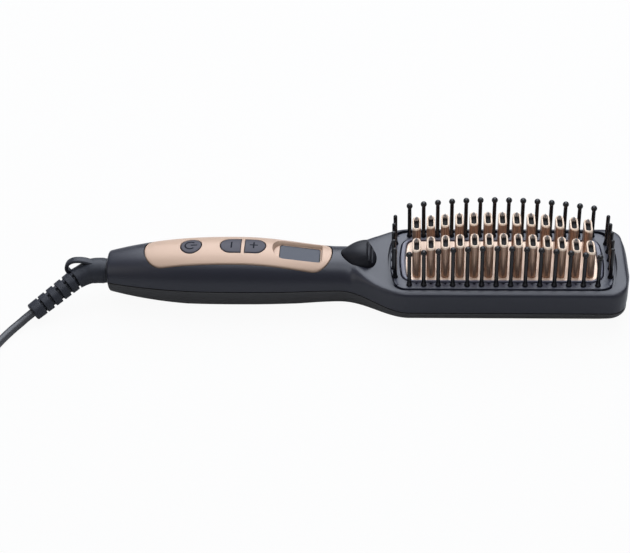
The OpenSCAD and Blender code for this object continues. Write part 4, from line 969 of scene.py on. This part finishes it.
# ---- Bezel and heated plate ----
# A satin violet-grey frame round the heated plate, and the plate itself: pressed aluminium with a
# champagne ceramic coat. Both lie on the steam chamber's flange.
bezel_out = pad(PLATE_X, 57.75, 19.55, 7.6, 0.8, 16, 16)
bezel_in = pad(PLATE_X, 55.15, 18.35, 5.15, 0.8, 16, 16)
bezel = skin(frame_rings(bezel_out, bezel_in, 24.0, DECK_TOP + 0.55, 0.45), closed=True)
as_piece(as_mesh("plate_bezel_frame", bezel),
         soft_touch("bezel_plastic", (0.085, 0.085, 0.118), 0.30, 0.55), "housing", "bezel", "plate_bezel")
plate_outline = resampled(pad(PLATE_X, 54.75, 17.95, 4.75, 0.8), 200)
plate = laid_plate(plate_outline, flat(PLATE_TOP), flat(24.0), 0.5, 10)
as_piece(as_mesh("coated_heater_plate", skin(plate)),
         satin_gold("champagne_plate", (0.78, 0.60, 0.47), 0.36, 0.25), "housing", "plate_metal",
         "heater_plate")

# ---- Steam fingers ----
# Hollow oblong fingers stand on the plate in two rows: drawn aluminium, anodised copper-brown,
# with bright cut rims. A black heat-proof core with a small pointed nose closes each one.
FINGER_H = 22.2


def oblong(cx, cy, half_w, half_len, count=40):
    """A stadium: straight sides along Y and half-round ends."""
    q = np.linspace(0, np.pi, count // 2)
    top = np.stack([half_w * np.cos(q), half_len - half_w + half_w * np.sin(q)], 1)
    return np.vstack([top, -top]) + (cx, cy)


def finger_top(x):
    """Height of the finger's rim at x, for numbers or a Flow."""
    return PLATE_TOP + FINGER_H - crown(x)


def oblong_rings(x, y, rows):
    """Oblongs round x, y, one for each row of (half width, half length, height)."""
    return at_heights([(oblong(x, y, w, h), z) for w, h, z in rows])


def finger_rings(x, y):
    """Walls of an oblong tube with a rounded lip, open down to the core."""
    top = finger_top(x)
    return oblong_rings(x, y, [
        (2.45, 6.0, PLATE_TOP), (2.45, 6.0, top - 1.5), (2.42, 5.97, top - 1.1), (2.3, 5.85, top - 0.55),
        (2.1, 5.65, top - 0.15), (1.85, 5.4, top), (1.62, 5.17, top - 0.1), (1.45, 5.0, top - 0.4),
        (1.4, 4.95, top - 0.9), (1.4, 4.95, top - 4.0)])


def core_rings(x, y):
    """A core that fills the finger up to a shallow oval dish."""
    top = finger_top(x)
    return oblong_rings(x, y, [(1.36, 4.9, PLATE_TOP), (1.36, 4.9, top - 1.1), (1.25, 4.78, top - 0.95),
                               (1.0, 4.4, top - 1.1), (0.5, 3.9, top - 1.3)])


def nose_skin(x, y):
    """The small pointed nose that stands at the far end of a core, past the finger's lip."""
    rise = [(-1.6, 0.0), (-1.6, 1.25), (-0.6, 1.22), (0.3, 1.05), (1.1, 0.74), (1.6, 0.42), (1.85, 0.2),
            (1.92, 0.0)]
    return skin(turned(rise, (x, y + 3.1, finger_top(x)), (0, 0, 1), 20), capped=False)


def copper_anodised():
    """Copper-brown anodising: brighter cut lips by height, fine vertical drawing lines, and a
    painted shade that darkens the wall towards its foot on the plate, a little redder there."""
    material, shader, place = finish_named("copper_anodised")
    along, height = (place.node("ShaderNodeSeparateXYZ", out=k, Vector=place) / MM for k in (0, 2))
    cut = place.node("ShaderNodeMapRange", Value=height - (finger_top(along) - 1.3), From_Min=0.0,
                     From_Max=0.14)
    foot = place.node("ShaderNodeMapRange", Value=height, From_Min=PLATE_TOP, From_Max=PLATE_TOP + 7.0)
    lengthwise = place.node("ShaderNodeMapping", Vector=place, Scale=(1, 1, 0.03))
    drawn = place.node("ShaderNodeTexNoise", Vector=lengthwise, Scale=1500.0, Detail=3.0)
    # painted shade: the wall's colour darkens from seven millimetres up down to the plate, a little redder
    # at the foot
    wall = foot.blend((0.40, 0.25, 0.18, 1), (0.53, 0.35, 0.255, 1))
    worked = (drawn * 0.5).blend(wall, (0.68, 0.66, 0.64, 1), "MULTIPLY")
    feed(shader, "Base Color", cut.blend(worked, (0.90, 0.72, 0.57, 1)))
    feed(shader, "Roughness", drawn * 0.12 + 0.22)
    feed(shader, "Normal", place.node("ShaderNodeBump", Height=drawn, Strength=0.1, Distance=0.00003))
    feed(shader, "Metallic", cut * -0.5 + 0.7)
    return material


copper = copper_anodised()
core_black = rubber("core_plastic", (0.005, 0.0045, 0.0045), 0.4, 800, 0.00001, 0.0, 0.08)
nose_steel = bright_metal("nose_steel", (0.30, 0.29, 0.30), 0.3, (40, 40, 1))
for y, row in ((-FINGER_ROW_Y, "front"), (FINGER_ROW_Y, "rear")):
    as_piece(as_mesh("steam_fingers_" + row, *[skin(finger_rings(x, y), capped=False) for x in finger_xs]),
             copper, "housing", "finger_metal", "finger_row_" + row)
    as_piece(as_mesh("finger_cores_" + row, *[skin(core_rings(x, y)) for x in finger_xs]), core_black,
             "housing", "tip_plastic", "finger_tips_" + row)
    as_piece(as_mesh("finger_noses_" + row, *[nose_skin(x, y) for x in finger_xs]), nose_steel,
             "housing", "tip_plastic")

# ---- Guard pins ----
# Cool pins of black nylon keep the hot fingers off the scalp: slim shafts on flared feet, with
# smooth balls in the two long rows and plain round tips in the columns across the ends.
PIN_H, END_PIN_H = 26.8, 20.9
BALL_R, TIP_PIN_R = 1.8, 1.15


def pin_skin(x, y, height, ball):
    """A turned pin: flared foot, shaft, and a ball or a round tip."""
    foot = [(0, 1.75), (0.35, 1.72), (1.2, 1.42), (2.6, 1.2), (3.6, 1.15)]
    if ball:
        a = np.linspace(math.radians(142), 0, 12)
        tip = [(height - BALL_R + BALL_R * math.cos(q), BALL_R * math.sin(q)) for q in a]
        neck = [(height - 4.6, 1.12), (height - 3.6, 1.1)]
    else:
        a = np.linspace(math.pi / 2, 0, 8)
        tip = [(height - TIP_PIN_R + TIP_PIN_R * math.cos(q), TIP_PIN_R * math.sin(q)) for q in a]
        neck = [(height - 3.0, TIP_PIN_R)]
    return skin(turned(foot + neck + tip, (x, y, DECK_TOP), (0, 0, 1), 24), capped=False)


def end_column(x, bow):
    """Five pins across an end of the head, bowed outwards as the deck's edge is."""
    return [pin_skin(x + bow * (1 - (k / 2) ** 2), k * 7.6, END_PIN_H, False) for k in range(-2, 3)]


nylon = rubber("pin_nylon", (0.004, 0.004, 0.0055), 0.2, 700, 0.00001, 0.0, 0.42)
for y, row in ((-PIN_ROW_Y, "front"), (PIN_ROW_Y, "rear")):
    as_piece(as_mesh("guard_pins_" + row, *[pin_skin(x, y, PIN_H - crown(x), True) for x in pin_xs]),
             nylon, "housing", "pin_plastic", "pin_row_" + row, sharp=60)
for x, bow, row in ((X_BUTT + 168, -0.8, "inner"), (X_TIP - 12.2, 0.8, "outer")):
    as_piece(as_mesh("end_pins_" + row, *end_column(x, bow)), nylon, "housing", "pin_plastic",
             "pin_column_" + row, sharp=60)

# ---- Steam key's spring ----
# A wound steel spring between the pump's cylinder and the thumb key.
def wound_wire(centre, low, high, radius, wire, turns=5, per_turn=24):
    """A tube along a helix about Z: one closed turn at each end, the rest evenly pitched."""
    s = np.linspace(0, turns, turns * per_turn + 1)
    climb = np.interp(s, [0, 1, turns - 1, turns], [0, 0.16, 0.84, 1])
    line = np.stack([centre + radius * np.cos(2 * np.pi * s), radius * np.sin(2 * np.pi * s),
                     low + wire + (high - low - 2 * wire) * climb], 1)
    return skin(tube_rings(line, np.full(len(line), wire), 10))


WIRE_R, KEY_TRAVEL = 0.5, 3.0
(spring_x0, _, spring_low), (spring_x1, _, spring_high) = np.array(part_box("steam_spring")) / MM
spring_x, spring_r = (spring_x0 + spring_x1) / 2, (spring_x1 - spring_x0) / 2 - WIRE_R
wire = wound_wire(spring_x, spring_low, spring_high, spring_r, WIRE_R)
spring = as_piece(as_mesh("steam_key_spring", wire), bright_metal("spring_steel", (0.6, 0.6, 0.62), 0.28),
                  "housing", "spring_steel", "steam_spring")
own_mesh(spring)

# ---- Inner works ----
# What the shells hide: board, switches, pump, tank, heater and leads. The CAD solids stay as they
# are, each in the finish of its real material.
inner_finishes = {
    "display_module": rubber("display_black", (0.02, 0.022, 0.026), 0.2, 500, 0.00001, 0.4),
    "control_board": rubber("board_green", (0.02, 0.13, 0.055), 0.35, 350, 0.00003, 0.5),
    "tact_switches": bright_metal("switch_steel", (0.7, 0.7, 0.72), 0.35),
    "pump_cylinder": rubber("natural_acetal", (0.75, 0.76, 0.78), 0.38, 600),
    "pump_piston": rubber("piston_rubber", (0.06, 0.06, 0.065), 0.5),
    "water_tank": rubber("tank_plastic", (0.42, 0.52, 0.60), 0.25, 500, 0.00001, 0.4),
    "water_tubes": rubber("silicone_tube", (0.72, 0.74, 0.74), 0.35, 500),
    "steam_chamber": bright_metal("cast_aluminium", (0.58, 0.58, 0.60), 0.52, (8, 8, 8)),
    "heating_elements": rubber("element_ceramic", (0.78, 0.76, 0.71), 0.55, 700),
    "element_clamp": bright_metal("clamp_steel", (0.6, 0.6, 0.62), 0.4, (1, 60, 60)),
    "insulation_pad": rubber("mineral_felt", (0.72, 0.70, 0.62), 0.9, 420, 0.0003),
    "thermal_fuse": bright_metal("fuse_brass", (0.72, 0.55, 0.28), 0.3, (1, 60, 60)),
    "thermistor": rubber("glazed_bead", (0.14, 0.07, 0.045), 0.2, 500, 0.00001, 0.6),
    "board_screws": bright_metal("board_screw_steel", (0.62, 0.62, 0.64), 0.32),
    "heater_leads": rubber("lead_white", (0.75, 0.75, 0.72), 0.45),
    "mains_leads": rubber("lead_brown", (0.28, 0.07, 0.05), 0.45),
    "swivel_bush": rubber("bush_acetal", (0.02, 0.02, 0.022), 0.4, 700),
}
for name, finish in inner_finishes.items():
    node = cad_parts[name]
    node.data.materials.clear()
    node.data.materials.append(finish)
